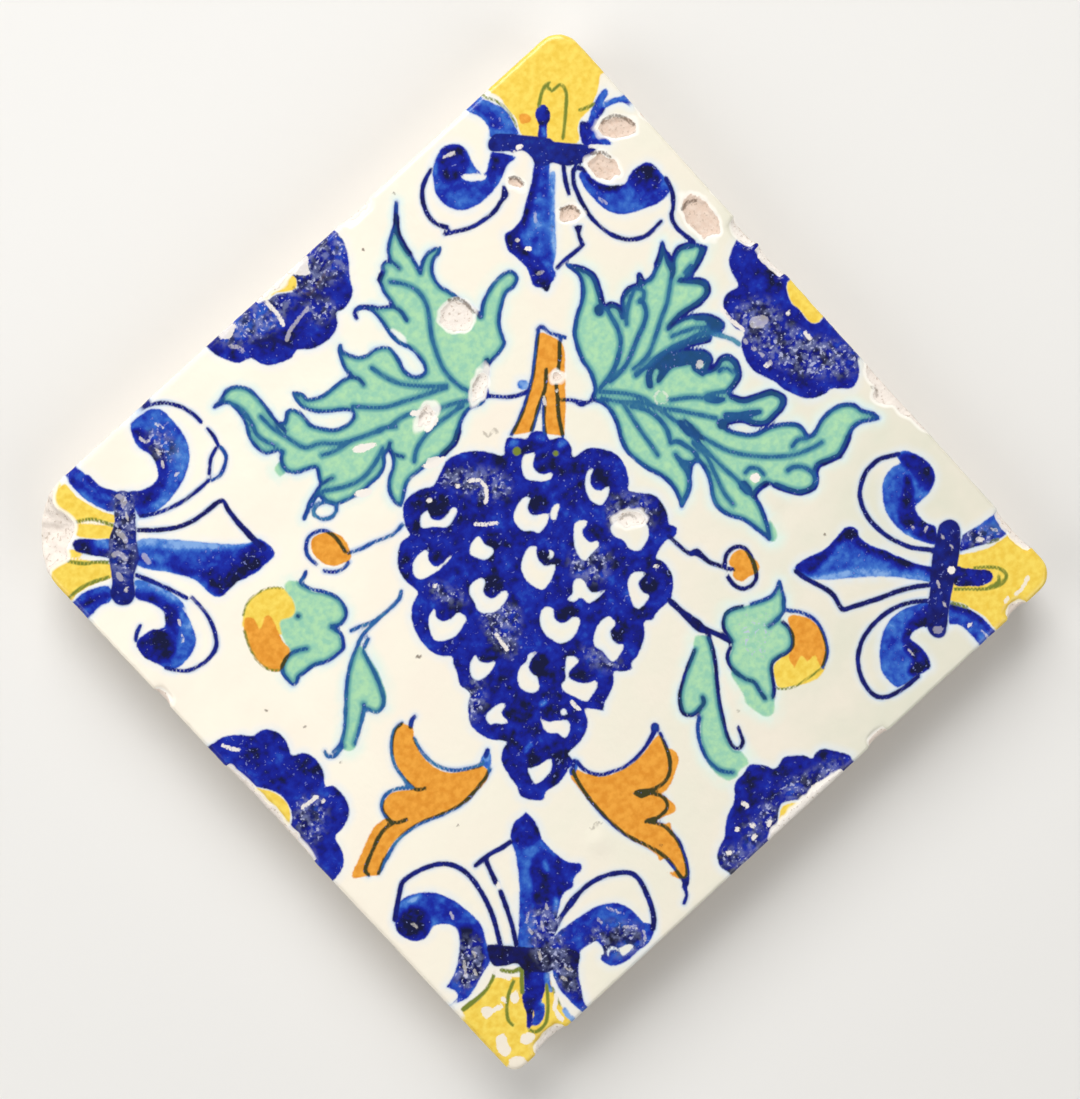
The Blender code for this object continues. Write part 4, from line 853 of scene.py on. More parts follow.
    # The two orange leaves under the bunch
    orange_leaves: str = """
    ORANGE 1
    -22.3,-30.4! -21,-31 -20.2,-31.5 -20,-33.2 -18.5,-36 -17,-37.5 -15,-38.6 -13,-38.9 -11,-38.5 -9,-37.9 \
      -7.8,-37.6 -7,-38.2 -6.7,-39 -7.2,-40.3 -8.5,-41.8 -10.2,-43.8 -12.5,-45.3 -15,-46.5 -18,-47.7 \
      -20.3,-49.2 -22.3,-51 -23.8,-53.3 -24.7,-55.5 -25,-57.2 -27,-57.5 -29.5,-58 -29.6,-56.8 -28.5,-54 \
      -27.3,-51 -26.3,-49 -24.8,-47.6 -23.5,-47.3! -24.7,-46.4 -25,-45.2 -24.3,-43.6 -23,-42.6 -20.5,-42.2 \
      -19.5,-41.7! -20.5,-41 -21.8,-39.5 -23,-37.8 -23.7,-35.5 -23.7,-33 -23.2,-31.4
    8,-37.4 9.5,-37.9 11,-38.3 13,-38.6 15,-38 17,-37 19,-35.5 20.5,-33.7 21.8,-31.8 22.7,-30.8! 23.4,-31.4 \
      24.2,-33 25.3,-33.4 26.2,-34.3 26.4,-35.5 26,-37 25.5,-38.8 24.5,-40.6 23.6,-41.2 24.8,-42 26,-43 \
      26.3,-44 25.5,-44.7 24,-45.4 22.5,-46.2! 24.5,-46.4 25.4,-46.2 25.8,-47.5 27,-49.5 28,-51.8 28.7,-54 \
      28.9,-55.7 27.6,-56 26.5,-55.7 25.2,-55! 26.8,-54.5 25.8,-53.2 24.8,-52.6 23.8,-53 23.6,-52.2 \
      22.5,-51.4 20,-50.1 17.5,-48.7 15,-46.7 12.5,-44.4 10,-41.8 8.5,-40 7.6,-39
    BLUE .4
    -7,-34.4 -7.6,-35.2 -8.3,-36.8 -7.6,-37.6 -6.8,-38 -6.4,-36.8 -6.6,-35.2
    7.8,-36 8.8,-36.2 8.4,-38.2 7.4,-38.4
    INK .7 1
    -20.1,-29.4 -20.6,-30.2 -20.7,-31.2
    -7.1,-34.8 -7.4,-35.8
    INK .35 .75
    -20,-33.2 -18.7,-35.3 -17,-37 -15,-38.1 -12.8,-38.5 -10.5,-38.1 -8.7,-37.6 -7.8,-37
    -6.6,-38 -7.2,-39.5 -8.3,-41 -10,-43.2 -12,-44.9 -15,-46.5 -18,-47.8 -20.5,-49.5 -22.4,-51.5 \
      -23.5,-53.5 -24.3,-55
    -22.2,-30.6 -23.4,-31.7 -23.8,-33.5 -23.8,-35.5 -23.2,-37.8 -22,-39.6 -20.8,-41 -19.8,-41.8
    -25,-44 -24.2,-42.9 -22.7,-42.1 -20.6,-41.9 -18.8,-42.1 -17.7,-41.8
    -25,-44.2 -25.1,-45.5 -24.3,-47 -23.4,-47.8 -22.2,-48 -20.7,-47.4
    -22.8,-48 -24.2,-49 -25.3,-50.5 -26.3,-52.8 -27.2,-55.2 -27.5,-56.6 -26.9,-57.3
    -24.2,-54.5 -24.7,-56 -25.2,-57
    INK 1
    18.5,-41.2 19.8,-40.5 22,-40.3 22.8,-41 21.5,-41.7 20.2,-42.2 19.3,-41.9
    27.6,-55.8 29.2,-55.4 29.2,-57 28.6,-57.8 27.9,-57.6 28,-56.8
    INK .8 .85
    8.7,-36.2 9.5,-37.2 11,-38 13,-38.3 15,-37.6 17,-36.7 19,-35 20.5,-33 21.6,-31,1 21.9,-30.2,1.3 \
      22,-29.6,1.8
    22.9,-30.6 23.6,-32 24.4,-33.8 24.9,-35.7 24.9,-37.5 24.2,-39 22.8,-40.1 21,-40.8
    22,-41.2 23.8,-41.7 24.7,-42.8 24.6,-44 23.5,-45.2 22.3,-45.8,1 21.2,-46.2,1
    21.3,-46.2 22.8,-46.4 24.3,-46.8 25.5,-47.8 27,-49.5 28,-51.5 28.7,-53.8 28.9,-55.8
    28.4,-57.5 28.9,-58.8 28.5,-60.3,.5
    8.2,-36 7.9,-37.3 8.3,-38.6 9.3,-40.2 10.8,-42.3 12.7,-44.4 15,-46.6 17.5,-48.5 20.3,-49.9 22.8,-51 \
      24.7,-52.2 26,-53.5 27,-54.8 27.8,-55.8
    """

    # Worn places, the specks fired into the glaze, a few dark dots, painted shade in dark brown along the
    # upper walls of the flakes and round the relief of the rosette at upper left, and painted highlights on
    # that relief
    wear: str = """
    SCUFF .85
    -3.4,-85 -2,-84.4 -1.4,-86 -.6,-87.2 -1.6,-88.4 -3,-87.4
    1,-84.6 2.6,-84 3.4,-84.8 2.4,-86 1,-86
    -1,-89 1,-88.2 2,-89.6 0,-91
    3.6,-87.6 5,-86 7.6,-84 8,-85.4 5,-88.6
    -6.4,-80.2 -5,-79.6 -4.2,-80.8 -5.4,-81.8
    -1.2,-77.6 -.2,-76.6 .2,-78.4 -.8,-79
    -44.6,46.9 -42.8,46.2 -41.2,46.4 -41.8,47.8 -41.4,49.6 -40.4,51.4 -38.4,52.8 -39.4,53.6 -43,50
    -57.4,35 -55,34.6 -54,36 -53.6,38 -56,37.4
    49.6,-42.4 48.4,-41.4 50,-40.4 51.2,-38.8 53.4,-37.2 54.6,-35.8 57,-37 52.4,-41.8
    SCUFF .4 .65
    -41.4,40.6 -43,38.6 -44.4,36.4 -44.8,34.8
    -54.4,33.4 -53,33.2 -52.2,32.6
    36.2,41.8,2 37.2,42,2.2 38,42.4,1.2
    34.6,38.6 35,38.2
    36,37.4 36.4,37.2
    37.4,36.4 38,36
    39,35.2 39.4,35
    39.4,51.6 39.8,51.4
    SCUFF .9 .8
    45.8,-46.1 43,-48.9 40,-51.9 37.4,-54.5
    42.8,-46 43,-45.4
    40,-46.3 40.1,-46.1
    37.2,-47 37.3,-46.9
    40.2,-48.4 40.4,-48.1
    38,-42.3 38.8,-42.8
    35.8,-51.2 36.2,-51.1
    WORN 1
    -50,42 -47,45 -42,50 -36,55 -34,52 -35,47 -40,44 -46,42
    -57,35 -50,41 -46,43 -44,42 -46,38 -48,36 -54,33.5
    -42,41 -38,42 -37,40 -40,38
    -73,7 -70,7 -69.5,-3 -71,-8 -74,-4
    -68,18 -65,18 -63,15 -65,13 -67,15
    33,44 38,46 42,42 46,40 54,38 54,34 48,33 40,35 34,40
    -38,-52 -35,-50 -35,-45 -38,-44 -40,-47
    46,-41.4 50,-39.4 55,-35 54,-34 50,-36 45,-39
    42,-47 43.8,-46.4 43.4,-42.4 41.4,-43
    39,-50.4 41.4,-50 40.8,-45.6 38.4,-46.2
    35,-53.4 39,-52.4 38,-50 35,-50.6
    -17,12 -14,14 -8,14 -5,11 -8,9 -13,10
    -11,-23 -9,-22 -8,-27 -11,-30
    12,-66 16,-64 21,-65 21,-69 14,-70
    -11,-68.6 -7.4,-68 -6.4,-73 -9,-77 -11.6,-74
    1.6,-63 4,-62 7,-63 8,-70 11,-76 9,-77 5,-73 2,-69
    12,9 15,11 19,10 20,6 17,4 13,4
    6,0 12,1 12,-4 7,-4
    -8,-10 -3,-10 -3,-15 -7,-16
    -14,-7 -18,-6 -17,-9 -12,-9
    -9,-11 -4,-10 -3,-18 -7,-16
    9,-16 15,-18 14,-20 10,-19
    75,7 81,8 80,5 76,4.5
    36,-10 41,-9 41,-16 37,-16
    INK .35 .45
    -38.9,4.9 -37.6,4.3 -36,4.6 -35.1,5.8 -35.4,6.9 -36.6,7.3 -38.2,6.8 -39,5.8 -38.9,4.9
    DIRT .7 .6
    7.9,75 9.4,76.2 11.6,76.2 13.6,75
    6.3,69.6 8.4,69.9 9.6,69.2
    -7.6,64.6 -6.4,64.8 -5.2,63.7
    1.4,59.7 3,60.3 4.7,59.5
    22.6,60.8 23.4,62 25,62.5
    -17.2,43 -15.6,43.4 -14,42.5 -12.9,41.2
    INK 1 .95
    -50.6,34.2 -48,34.9 -46,34.6 -44,33.8
    -43.8,43.4 -42,42.6 -40,42.8 -38.4,42
    -38.2,48.2 -40,47 -42,47.6
    -38.8,51.2 -37.6,49.8 -38,48.4
    DIRT .4 .5
    57.2,31.6 58.2,31 58.4,29.8
    -12.2,41.2 -11.8,40.4
    -21.4,22.6 -20.4,23.5 -19.4,23.2
    14.2,6.6 15.6,7.4 17,6.8
    -10.2,20.5 -9.4,19.9 -8.8,20.7
    -8.4,21.2 -7.8,20.6
    12.2,-46.9 13.4,-46.7
    11.4,-47.8 12.2,-47.6
    -44,44 -41.5,43 -39.6,45.2 -38.6,47
    -12.4,28.2 -11.4,30.4
    DIRT .75 .55
    -45.8,-29.3 -45.7,-29.3
    -39,-31.9 -38.9,-31.9
    -32.5,-37.8 -32.4,-37.8
    -32.4,51.1 -32.3,51.1
    -27.5,61 -27.4,61
    -20.2,-18.9 -19.4,-18.9
    -11.8,-48 -11.7,-48
    0,56.7 .1,56.7
    23.9,-50.2 24,-50.2
    50.2,5.4 50.3,5.4
    DIRT .35 .5
    36.4,-26.2 36.6,-26.2
    SCUFF 1
    -33,16.4 -31.4,17.5 -28.6,17.8 -29.8,16.7 -31.6,16
    -32.2,8.7 -30.8,9.8 -28.9,9.6 -30.2,8.4
    -20.6,14.1 -18.8,15.5 -16.5,15.9 -17.7,14.5 -19.4,13.8
    """

    def touches(self) -> list[Touch]:
        """Read the motifs.

        Returns:
            Every touch, in painting order.
        """
        touches: list[Touch] = []
        for row in "".join(vars(self).values()).splitlines():
            words = row.split()
            if not words:
                continue
            if words[0] in Layer.__members__:
                layer, bare = Layer[words[0]], words[1] == "bare"
                tone = 1.0 if bare else float(words[1])
                width = float(words[2]) if len(words) > 2 else 0.0
            elif words[0] == "round":
                shape = touches[-1].path
                touches.append(Touch(layer, f"{shape} {shape.split()[0]}", width, tone))
            else:
                touches.append(Touch(layer, row, width, tone, bare))
        return touches


def read_path(path: str) -> tuple[np.ndarray, np.ndarray, list[bool]]:
    """Read the points of a touch.

    Args:
        path: Points "u,v" or "u,v,width", with "!" at corners.

    Returns:
        The points, the widths (NaN where none is given) and the corner flags.
    """
    points, widths, corners = [], [], []
    for word in path.split():
        corners.append(word.endswith("!"))
        numbers = [float(part) for part in word.rstrip("!").split(",")]
        points.append(numbers[:2])
        widths.append(numbers[2] if len(numbers) > 2 else math.nan)
    return np.array(points), np.array(widths), corners


def smooth_path(
    points: np.ndarray, widths: np.ndarray, corners: list[bool], closed: bool, steps: int = 4
) -> tuple[np.ndarray, np.ndarray]:
    """Run a smooth curve through points, with a break in direction at corners.

    Args:
        points: The points.
        widths: The width at each point.
        corners: True where the path has a corner.
        closed: True for a loop.
        steps: Pieces between two points.

    Returns:
        The points and widths of the smooth path.
    """
    count = len(points)
    out, out_widths = [], []
    for i in range(count if closed else count - 1):
        j = (i + 1) % count
        before = points[(i - 1) % count] if closed or i > 0 else points[i]
        after = points[(j + 1) % count] if closed or j < count - 1 else points[j]
        start = (points[j] - before) / 2 if not corners[i] else points[j] - points[i]
        end = (after - points[i]) / 2 if not corners[j] else points[j] - points[i]
        reach = float(np.linalg.norm(points[j] - points[i]))
        start *= min(1.0, 1.2 * reach / max(float(np.linalg.norm(start)), 1e-6))
        end *= min(1.0, 1.2 * reach / max(float(np.linalg.norm(end)), 1e-6))
        for k in range(steps):
            t = k / steps
            a, b = 2 * t**3 - 3 * t**2 + 1, t**3 - 2 * t**2 + t
            c, d = -2 * t**3 + 3 * t**2, t**3 - t**2
            out.append(a * points[i] + b * start + c * points[j] + d * end)
            out_widths.append((1 - t) * widths[i] + t * widths[j])
    if not closed:
        out.append(points[-1])
        out_widths.append(widths[-1])
    return np.array(out), np.array(out_widths)


def path_distance(
    u: np.ndarray, v: np.ndarray, path: np.ndarray, widths: np.ndarray, closed: bool
) -> np.ndarray:
    """Distance in millimetres from places to the edge of a touch, negative inside.

    Args:
        u: Places to the right.
        v: Places up.
        path: The smooth path.
        widths: Full width at each point, or zero for a filled shape.
        closed: True for a filled shape.

    Returns:
        The distances.
    """
    nearest = np.full(u.shape, 1e3)
    inside = np.zeros(u.shape, bool)
    count = len(path)
    for i in range(count if closed else count - 1):
        a, b = path[i], path[(i + 1) % count]
        along = b - a
        length2 = float(along @ along) + 1e-12
        t = np.clip(((u - a[0]) * along[0] + (v - a[1]) * along[1]) / length2, 0.0, 1.0)
        gap = np.hypot(u - a[0] - t * along[0], v - a[1] - t * along[1])
        if closed:
            crosses = (a[1] > v) != (b[1] > v)
            if a[1] != b[1]:
                inside ^= crosses & (u < along[0] * (v - a[1]) / (b[1] - a[1]) + a[0])
        else:
            gap = gap - ((1 - t) * widths[i] + t * widths[i + 1]) / 2
        nearest = np.minimum(nearest, gap)
    return np.where(inside, -nearest, nearest)


class Fields:
    """Distance fields of the pigments over a set of places on the face, in millimetres.

    FAR is the largest distance kept and BLEND the width over which two tones blend. Cobalt lines
    are at least FINEST_LINE wide, because finer ones fall between the mesh's places.
    """

    FAR = 4.0
    BLEND = 0.7
    FINEST_LINE = 0.84
    COBALT = (Layer.BLUE, Layer.INK)

    def __init__(self, u: np.ndarray, v: np.ndarray) -> None:
        """Start with no pigment anywhere.

        Args:
            u: Places to the right.
            v: Places up.
        """
        self.u, self.v = u, v
        self.distance = {layer: np.full(u.shape, self.FAR) for layer in Layer}
        self.tone = {layer: np.ones(u.shape) for layer in Layer}

    def add(self, touch: Touch) -> None:
        """Lay one touch over what is there.

        Args:
            touch: The touch.
        """
        points, widths, corners = read_path(touch.path)
        widths = np.where(np.isnan(widths), touch.width, widths)
        closed = touch.width == 0.0
        path, path_widths = smooth_path(points, widths, corners, closed)
        if not closed and touch.layer in self.COBALT:
            path_widths = np.maximum(path_widths, self.FINEST_LINE)
        low, high = path.min(0) - self.FAR, path.max(0) + self.FAR
        near = (self.u > low[0]) & (self.u < high[0]) & (self.v > low[1]) & (self.v < high[1])
        gap = path_distance(self.u[near], self.v[near], path, path_widths, closed)
        if touch.bare:
            self.distance[touch.layer][near] = np.maximum(self.distance[touch.layer][near], -gap)
            return
        self.lay(touch.layer, near, gap, touch.tone)

    def lay(self, layer: Layer, near: np.ndarray, gap: np.ndarray, tone: float) -> None:
        """Lay a shape over what is there.

        Args:
            layer: The pigment.
            near: True at the places near the shape.
            gap: The distances from those places to the shape's edge, negative inside.
            tone: How strong the pigment is.
        """
        old = self.distance[layer][near]
        cover = np.clip(0.5 - gap / self.BLEND, 0.0, 1.0)
        cover = np.where((old > 0) & (gap < old), 1.0, cover)
        self.distance[layer][near] = np.minimum(old, gap)
        self.tone[layer][near] += cover * (tone - self.tone[layer][near])


@dataclass(frozen=True)
class Flake:
    """A flake of glaze that is gone.

    Attributes:
        u: Place to the right in millimetres.
        v: Place up in millimetres.
        half_length: Half length in millimetres.
        half_width: Half width in millimetres.
        turn: Turn in degrees.
        clay: Share of clay in its colour, 0 for white glaze.
    """

    u: float
    v: float
    half_length: float
    half_width: float
    turn: float
    clay: float = 1.0

    def distance(self, u: np.ndarray, v: np.ndarray) -> np.ndarray:
        """Distance to the flake's ragged edge.

        Args:
            u: Places to the right.
            v: Places up.

        Returns:
            The distances in millimetres, negative inside.
        """
        c, s = math.cos(math.radians(self.turn)), math.sin(math.radians(self.turn))
        a = ((u - self.u) * c + (v - self.v) * s) / self.half_length
        b = ((v - self.v) * c - (u - self.u) * s) / self.half_width
        ragged = np.array([noise.noise(Vector((x * 0.7, y * 0.7, 8.1))) for x, y in zip(u, v)])
        return (np.hypot(a, b) - 1.0) * min(self.half_length, self.half_width) + 0.55 * ragged


@dataclass(frozen=True)
class Chip:
    """A chip in the face's rim.

    Attributes:
        side: Direction out of the tile across the edge.
        along: Place along the edge, as a share of the half side from the edge's middle.
        length: Length along the edge in millimetres.
        inset: How far it reaches into the face in millimetres.
        depth: How far it reaches down the side in millimetres.
        clay: Share of clay in its colour. At 0 the glaze is only bared, with no dent.
    """

    side: tuple[float, float]
    along: float
    length: float
    inset: float
    depth: float
    clay: float


def outline(n: int) -> list[tuple[int, int]]:
    """Go round the outline of a square grid, anticlockwise.

    Args:
        n: Cells across the grid.

    Returns:
        The row and column of each place.
    """
    return (
        [(i, 0) for i in range(n)]
        + [(n, j) for j in range(n)]
        + [(n - i, n) for i in range(n)]
        + [(0, n - j) for j in range(n)]
    )


def linear(code: str) -> tuple[float, float, float, float]:
    """Turn an sRGB hex colour into linear light.

    Args:
        code: Six hex digits.

    Returns:
        Red, green, blue and an alpha of 1.
    """
    parts = [int(code[i : i + 2], 16) / 255 for i in (0, 2, 4)]
    red, green, blue = (p / 12.92 if p <= 0.04045 else ((p + 0.055) / 1.055) ** 2.4 for p in parts)
    return red, green, blue, 1.0


def add(
    tree: bpy.types.NodeTree, kind: str, links: dict | None = None, **settings: object
) -> bpy.types.Node:
    """Add a node with its settings and links.

    Args:
        tree: The node tree.
        kind: The node's type.
        links: For each input, by name or number, a socket to link or a value to set.
        settings: Properties of the node.

    Returns:
        The node.
    """
    node = tree.nodes.new(kind)
    for name, value in settings.items():
        setattr(node, name, value)
    for key, value in (links or {}).items():
        if isinstance(value, bpy.types.NodeSocket):
            tree.links.new(value, node.inputs[key])
        else:
            node.inputs[key].default_value = value
    return node


@dataclass(frozen=True)
class TinGlazeFinish:
    """Opaque white tin glaze over buff clay, painted with metal oxides before firing."""

    cream: str = "FAF2E0"
    cream_right: str = "D9D8C5"
    cream_pink: str = "F3E6D6"
    mint: str = "D9EEE2"
    ice: str = "DCE6F0"
    yellow: tuple[str, str] = ("F3D65E", "EAC446")
    orange: tuple[str, str] = ("EBA23C", "DB8D2A")
    green: tuple[str, str] = ("92C8AC", "ABD8AA")
    blues: tuple[str, ...] = ("7FA6DC", "3F74C6", "2450B6", "11279F", "0A1486", "0A0F38")
    inks: tuple[str, ...] = ("5C96A6", "33709F", "1C4A97", "0F2186", "0A0F5E", "0C0A26")
    ink_on_green: str = "1F5C7C"
    olive: str = "74802E"
    olive_ink: str = "3C3B1C"
    # Whitish glaze where it is bared, also used for the painted highlights on relief
    bared: str = "EFE8DF"
    clay: tuple[str, str] = ("D2B39C", "EADACC")
    clay_side: tuple[str, str] = ("CDB698", "E6DCCB")
    # Dark brown of the painted shade on the flakes' walls and the rosette's relief, and of a few dark dots
    soil: str = "54402E"
    halo: str = "9DB8DC"
    run_wide: str = "7FBFAC"
    run_close: str = "4A919A"
    haze: str = "7C84B2"
    murk: str = "10112E"
    specks: tuple[str, str] = ("7680C2", "B9BCDC")
    lip: str = "FBF6EC"
    pit: str = "A9917A"
    glaze_roughness: float = 0.22
    clay_roughness: float = 0.85
    glass_ior: float = 1.5
    relief: float = 0.0004

    def build(self) -> bpy.types.Material:
        """Build the glaze's material.

        Returns:
            The material.
        """
        material = bpy.data.materials.new("tin_glazed_earthenware")
        material.use_nodes = True
        tree = material.node_tree
        tree.nodes.clear()
        place = add(tree, "ShaderNodeTexCoord").outputs["Object"]
        mm = add(tree, "ShaderNodeVectorMath", {0: place, "Scale": 1000.0}, operation="SCALE").outputs[0]
        fields = {
            name: add(tree, "ShaderNodeAttribute", attribute_name=name).outputs["Fac"]
            for name in (*(layer.value for layer in Layer), *TONES, "fall")
        }
        grain = {
            name: add(
                tree, "ShaderNodeTexNoise", {"Vector": mm, "Scale": scale, "Detail": detail}
            ).outputs["Fac"]
            for name, scale, detail in (
                ("cloud", 0.07, 3.0),
                ("patch", 0.16, 2.0),
                ("wash", 0.33, 3.0),
                ("slow", 0.55, 2.0),
                ("streak", 0.85, 5.0),
                ("grit", 1.3, 5.0),
                ("quick", 2.4, 1.0),
                ("fine", 1.7, 1.5),
            )
        }
        masks = self.masks(tree, fields, grain)

        # The glaze ran a little way down the sides and ends in a wavering line
        down = add(
            tree, "ShaderNodeMath", {0: grain["wash"], 1: 3.0, 2: fields["fall"]}, operation="MULTIPLY_ADD"
        )
        masks["side"] = add(
            tree, "ShaderNodeMapRange", {"Value": down.outputs[0], "From Min": 2.5, "From Max": 2.8}
        ).outputs["Result"]
        colour = self.ground(tree, mm, grain)
        for tint, share in (
            *self.bleeds(tree, fields, grain, masks, on_green=False),
            *self.pigments(tree, fields, grain, masks),
            *self.wear(tree, fields, grain, masks),
        ):
            mixed = add(tree, "ShaderNodeMix", {0: share, 6: colour, 7: tint}, data_type="RGBA")
            colour = mixed.outputs[2]

        # Fired glaze is glossy, and bare clay soaks the gloss up
        bare = add(
            tree, "ShaderNodeMath", {0: masks["flake"], 1: masks["side"]}, operation="MAXIMUM"
        ).outputs[0]
        rough = add(
            tree,
            "ShaderNodeMapRange",
            {"Value": bare, "To Min": self.glaze_roughness, "To Max": self.clay_roughness},
        ).outputs["Result"]
        relief = add(tree, "ShaderNodeMath", {0: bare, 1: grain["grit"]}, operation="MULTIPLY").outputs[0]
        relief = add(
            tree, "ShaderNodeMath", {0: grain["slow"], 1: 0.4, 2: relief}, operation="MULTIPLY_ADD"
        ).outputs[0]
        bump = add(tree, "ShaderNodeBump", {"Strength": 0.5, "Distance": self.relief, "Height": relief})
        shader = add(
            tree,
            "ShaderNodeBsdfPrincipled",
            {"Base Color": colour, "Roughness": rough, "IOR": self.glass_ior, "Normal": bump.outputs[0]},
        )
        add(tree, "ShaderNodeOutputMaterial", {"Surface": shader.outputs[0]})
        return material

    def masks(self, tree: bpy.types.NodeTree, fields: Sockets, grain: Sockets) -> Sockets:
        """Where each pigment lies, with the wavering edge that a loaded brush leaves.

        Args:
            tree: The node tree.
            fields: The distance to each pigment's edge in millimetres.
            grain: Noises of several sizes.

        Returns:
            A share from 0 to 1 for each pigment.
        """
        masks = {}

        # How soft the edge is, how far it wavers slowly and quickly, and what a line loses, all in mm
        for name, soft, slow, quick, thinner in (
            ("yellow", 0.2, 0.4, 0.22, 0.0),
            ("orange", 0.18, 0.35, 0.22, 0.0),
            ("green", 0.25, 0.4, 0.22, 0.0),
            ("blue", 0.16, 0.35, 0.22, 0.0),
            ("olive", 0.18, 0.2, 0.12, 0.07),
            ("ink", 0.16, 0.3, 0.10, 0.07),
            ("scuff", 0.12, 0.3, 0.5, 0.0),
            ("dirt", 0.15, 0.2, 0.4, 0.0),
            ("flake", 0.10, 0.2, 0.3, 0.0),
        ):
            edge = fields[name]
            for noise_name, swing in (("slow", slow), ("quick", quick)):
                edge = add(
                    tree,
                    "ShaderNodeMath",
                    {0: grain[noise_name], 1: swing, 2: edge},
                    operation="MULTIPLY_ADD",
                ).outputs[0]
            middle = (slow + quick) / 2 - thinner
            masks[name] = add(
                tree,
                "ShaderNodeMapRange",
                {"Value": edge, "From Min": middle + soft, "From Max": middle - soft},
                interpolation_type="SMOOTHSTEP",
            ).outputs["Result"]
        return masks

    def ground(
        self, tree: bpy.types.NodeTree, mm: bpy.types.NodeSocket, grain: Sockets
    ) -> bpy.types.NodeSocket:
        """Cream ground, a little greyer towards the right corner, with faint pinkish clouds.

        Args:
            tree: The node tree.
            mm: Places on the tile in millimetres.
            grain: Noises of several sizes.

        Returns:
            The ground's colour.
        """
        split = add(tree, "ShaderNodeSeparateXYZ", {0: mm})
        right = add(tree, "ShaderNodeMath", {0: split.outputs[0], 1: split.outputs[1]}, operation="SUBTRACT")
        shade = add(
            tree, "ShaderNodeMapRange", {"Value": right.outputs[0], "From Min": -60.0, "From Max": 110.0}
        )
        cream = add(
            tree,
            "ShaderNodeMix",
            {0: shade.outputs[0], 6: linear(self.cream), 7: linear(self.cream_right)},
            data_type="RGBA",
        )
        cloud = add(
            tree,
            "ShaderNodeMapRange",
            {"Value": grain["cloud"], "From Min": 0.38, "From Max": 0.7, "To Max": 0.55},
        )
        mixed = add(
            tree,
            "ShaderNodeMix",
            {0: cloud.outputs[0], 6: cream.outputs[2], 7: linear(self.cream_pink)},
            data_type="RGBA",
        )
        return mixed.outputs[2]

    def bleeds(
        self, tree: bpy.types.NodeTree, fields: Sockets, grain: Sockets, masks: Sockets, on_green: bool
    ) -> list[Coat]:
        """Colour that ran from the pigments in the kiln.

        Args:
            tree: The node tree.
            fields: The distance to each pigment's edge in millimetres.
            grain: Noises of several sizes.
            masks: The share of each pigment.
            on_green: Whether the colour ran over the green or over the white ground.

        Returns:
            The coats of colour with their shares.
        """
        patchy = add(
            tree,
            "ShaderNodeMapRange",
            {"Value": grain["wash"], "From Min": 0.36, "From Max": 0.62, "To Min": 0.35},
        ).outputs["Result"]

        # Pigment, how far it ran in mm, how strongly, its colour there, and what the run keeps to
        if on_green:
            rows = (
                ("ink", 1.5, 0.35, self.run_wide, masks["green"]),
                ("ink", 0.6, 0.8, self.run_close, masks["green"]),
            )
        else:
            rows = (
                ("green", 2.8, 0.8, self.mint, patchy),
                ("ink", 1.4, 0.4, self.ice, patchy),
                ("blue", 1.8, 0.6, self.ice, patchy),
                ("ink", 0.45, 0.55, self.halo, patchy),
                ("blue", 0.4, 0.5, self.halo, patchy),
            )
        coats = []
        for name, reach, strength, tint, times in rows:
            near = add(
                tree,
                "ShaderNodeMapRange",
                {"Value": fields[name], "From Min": reach, "From Max": 0.0, "To Max": strength},
                interpolation_type="SMOOTHSTEP",
            ).outputs["Result"]
            share = add(tree, "ShaderNodeMath", {0: near, 1: times}, operation="MULTIPLY").outputs[0]
            coats.append((linear(tint), share))
        return coats

    def pigments(
        self, tree: bpy.types.NodeTree, fields: Sockets, grain: Sockets, masks: Sockets
    ) -> list[Coat]:
        """Washes of yellow, orange, green and blue, and the inked lines over them.

        Args:
            tree: The node tree.
            fields: The distances and tones of the pigments.
            grain: Noises of several sizes.
            masks: The share of each pigment.

        Returns:
            The coats of colour with their shares.
        """
        coats = []
        for name, (light, dark) in (("yellow", self.yellow), ("orange", self.orange), ("green", self.green)):
            drift = add(
                tree, "ShaderNodeMapRange", {"Value": grain["streak"], "From Min": 0.36, "From Max": 0.64}
            ).outputs["Result"]
            wash = add(tree, "ShaderNodeMix", {0: drift, 6: linear(light), 7: linear(dark)}, data_type="RGBA")
            coats.append((wash.outputs[2], masks[name]))
        coats.extend(self.bleeds(tree, fields, grain, masks, on_green=True))

        # Cobalt is pale where thin and nearly black where it pooled
        ramps = {}
        for name, codes, streak, wash in (("blue", self.blues, 0.8, 1.4), ("ink", self.inks, 0.6, 0.6)):
            tone = fields[f"{name}_tone"]
            for noise_name, swing in (("streak", streak), ("wash", wash)):
                tone = add(
                    tree,
                    "ShaderNodeMath",
                    {0: grain[noise_name], 1: swing, 2: tone},
                    operation="MULTIPLY_ADD",
                ).outputs[0]
            pale = (streak + wash) / 2
            tone = add(tree, "ShaderNodeMapRange", {"Value": tone, "From Min": pale, "From Max": pale + 1.25})
            ramp = add(tree, "ShaderNodeValToRGB", {0: tone.outputs["Result"]})
            self.set_stops(ramp, [(k / (len(codes) - 1), code) for k, code in enumerate(codes)])
            ramps[name] = ramp.outputs["Color"]
        teal = add(tree, "ShaderNodeMath", {0: masks["green"], 1: 0.55}, operation="MULTIPLY").outputs[0]
        on_green = add(
            tree, "ShaderNodeMix", {0: teal, 6: ramps["ink"], 7: linear(self.ink_on_green)}, data_type="RGBA"
        )
        on_orange = add(
            tree,
            "ShaderNodeMix",
            {0: masks["orange"], 6: on_green.outputs[2], 7: linear(self.olive_ink)},
            data_type="RGBA",
        )
        coats += [
            (ramps["blue"], masks["blue"]),
            (linear(self.olive), masks["olive"]),
            (on_orange.outputs[2], masks["ink"]),
        ]
        return coats

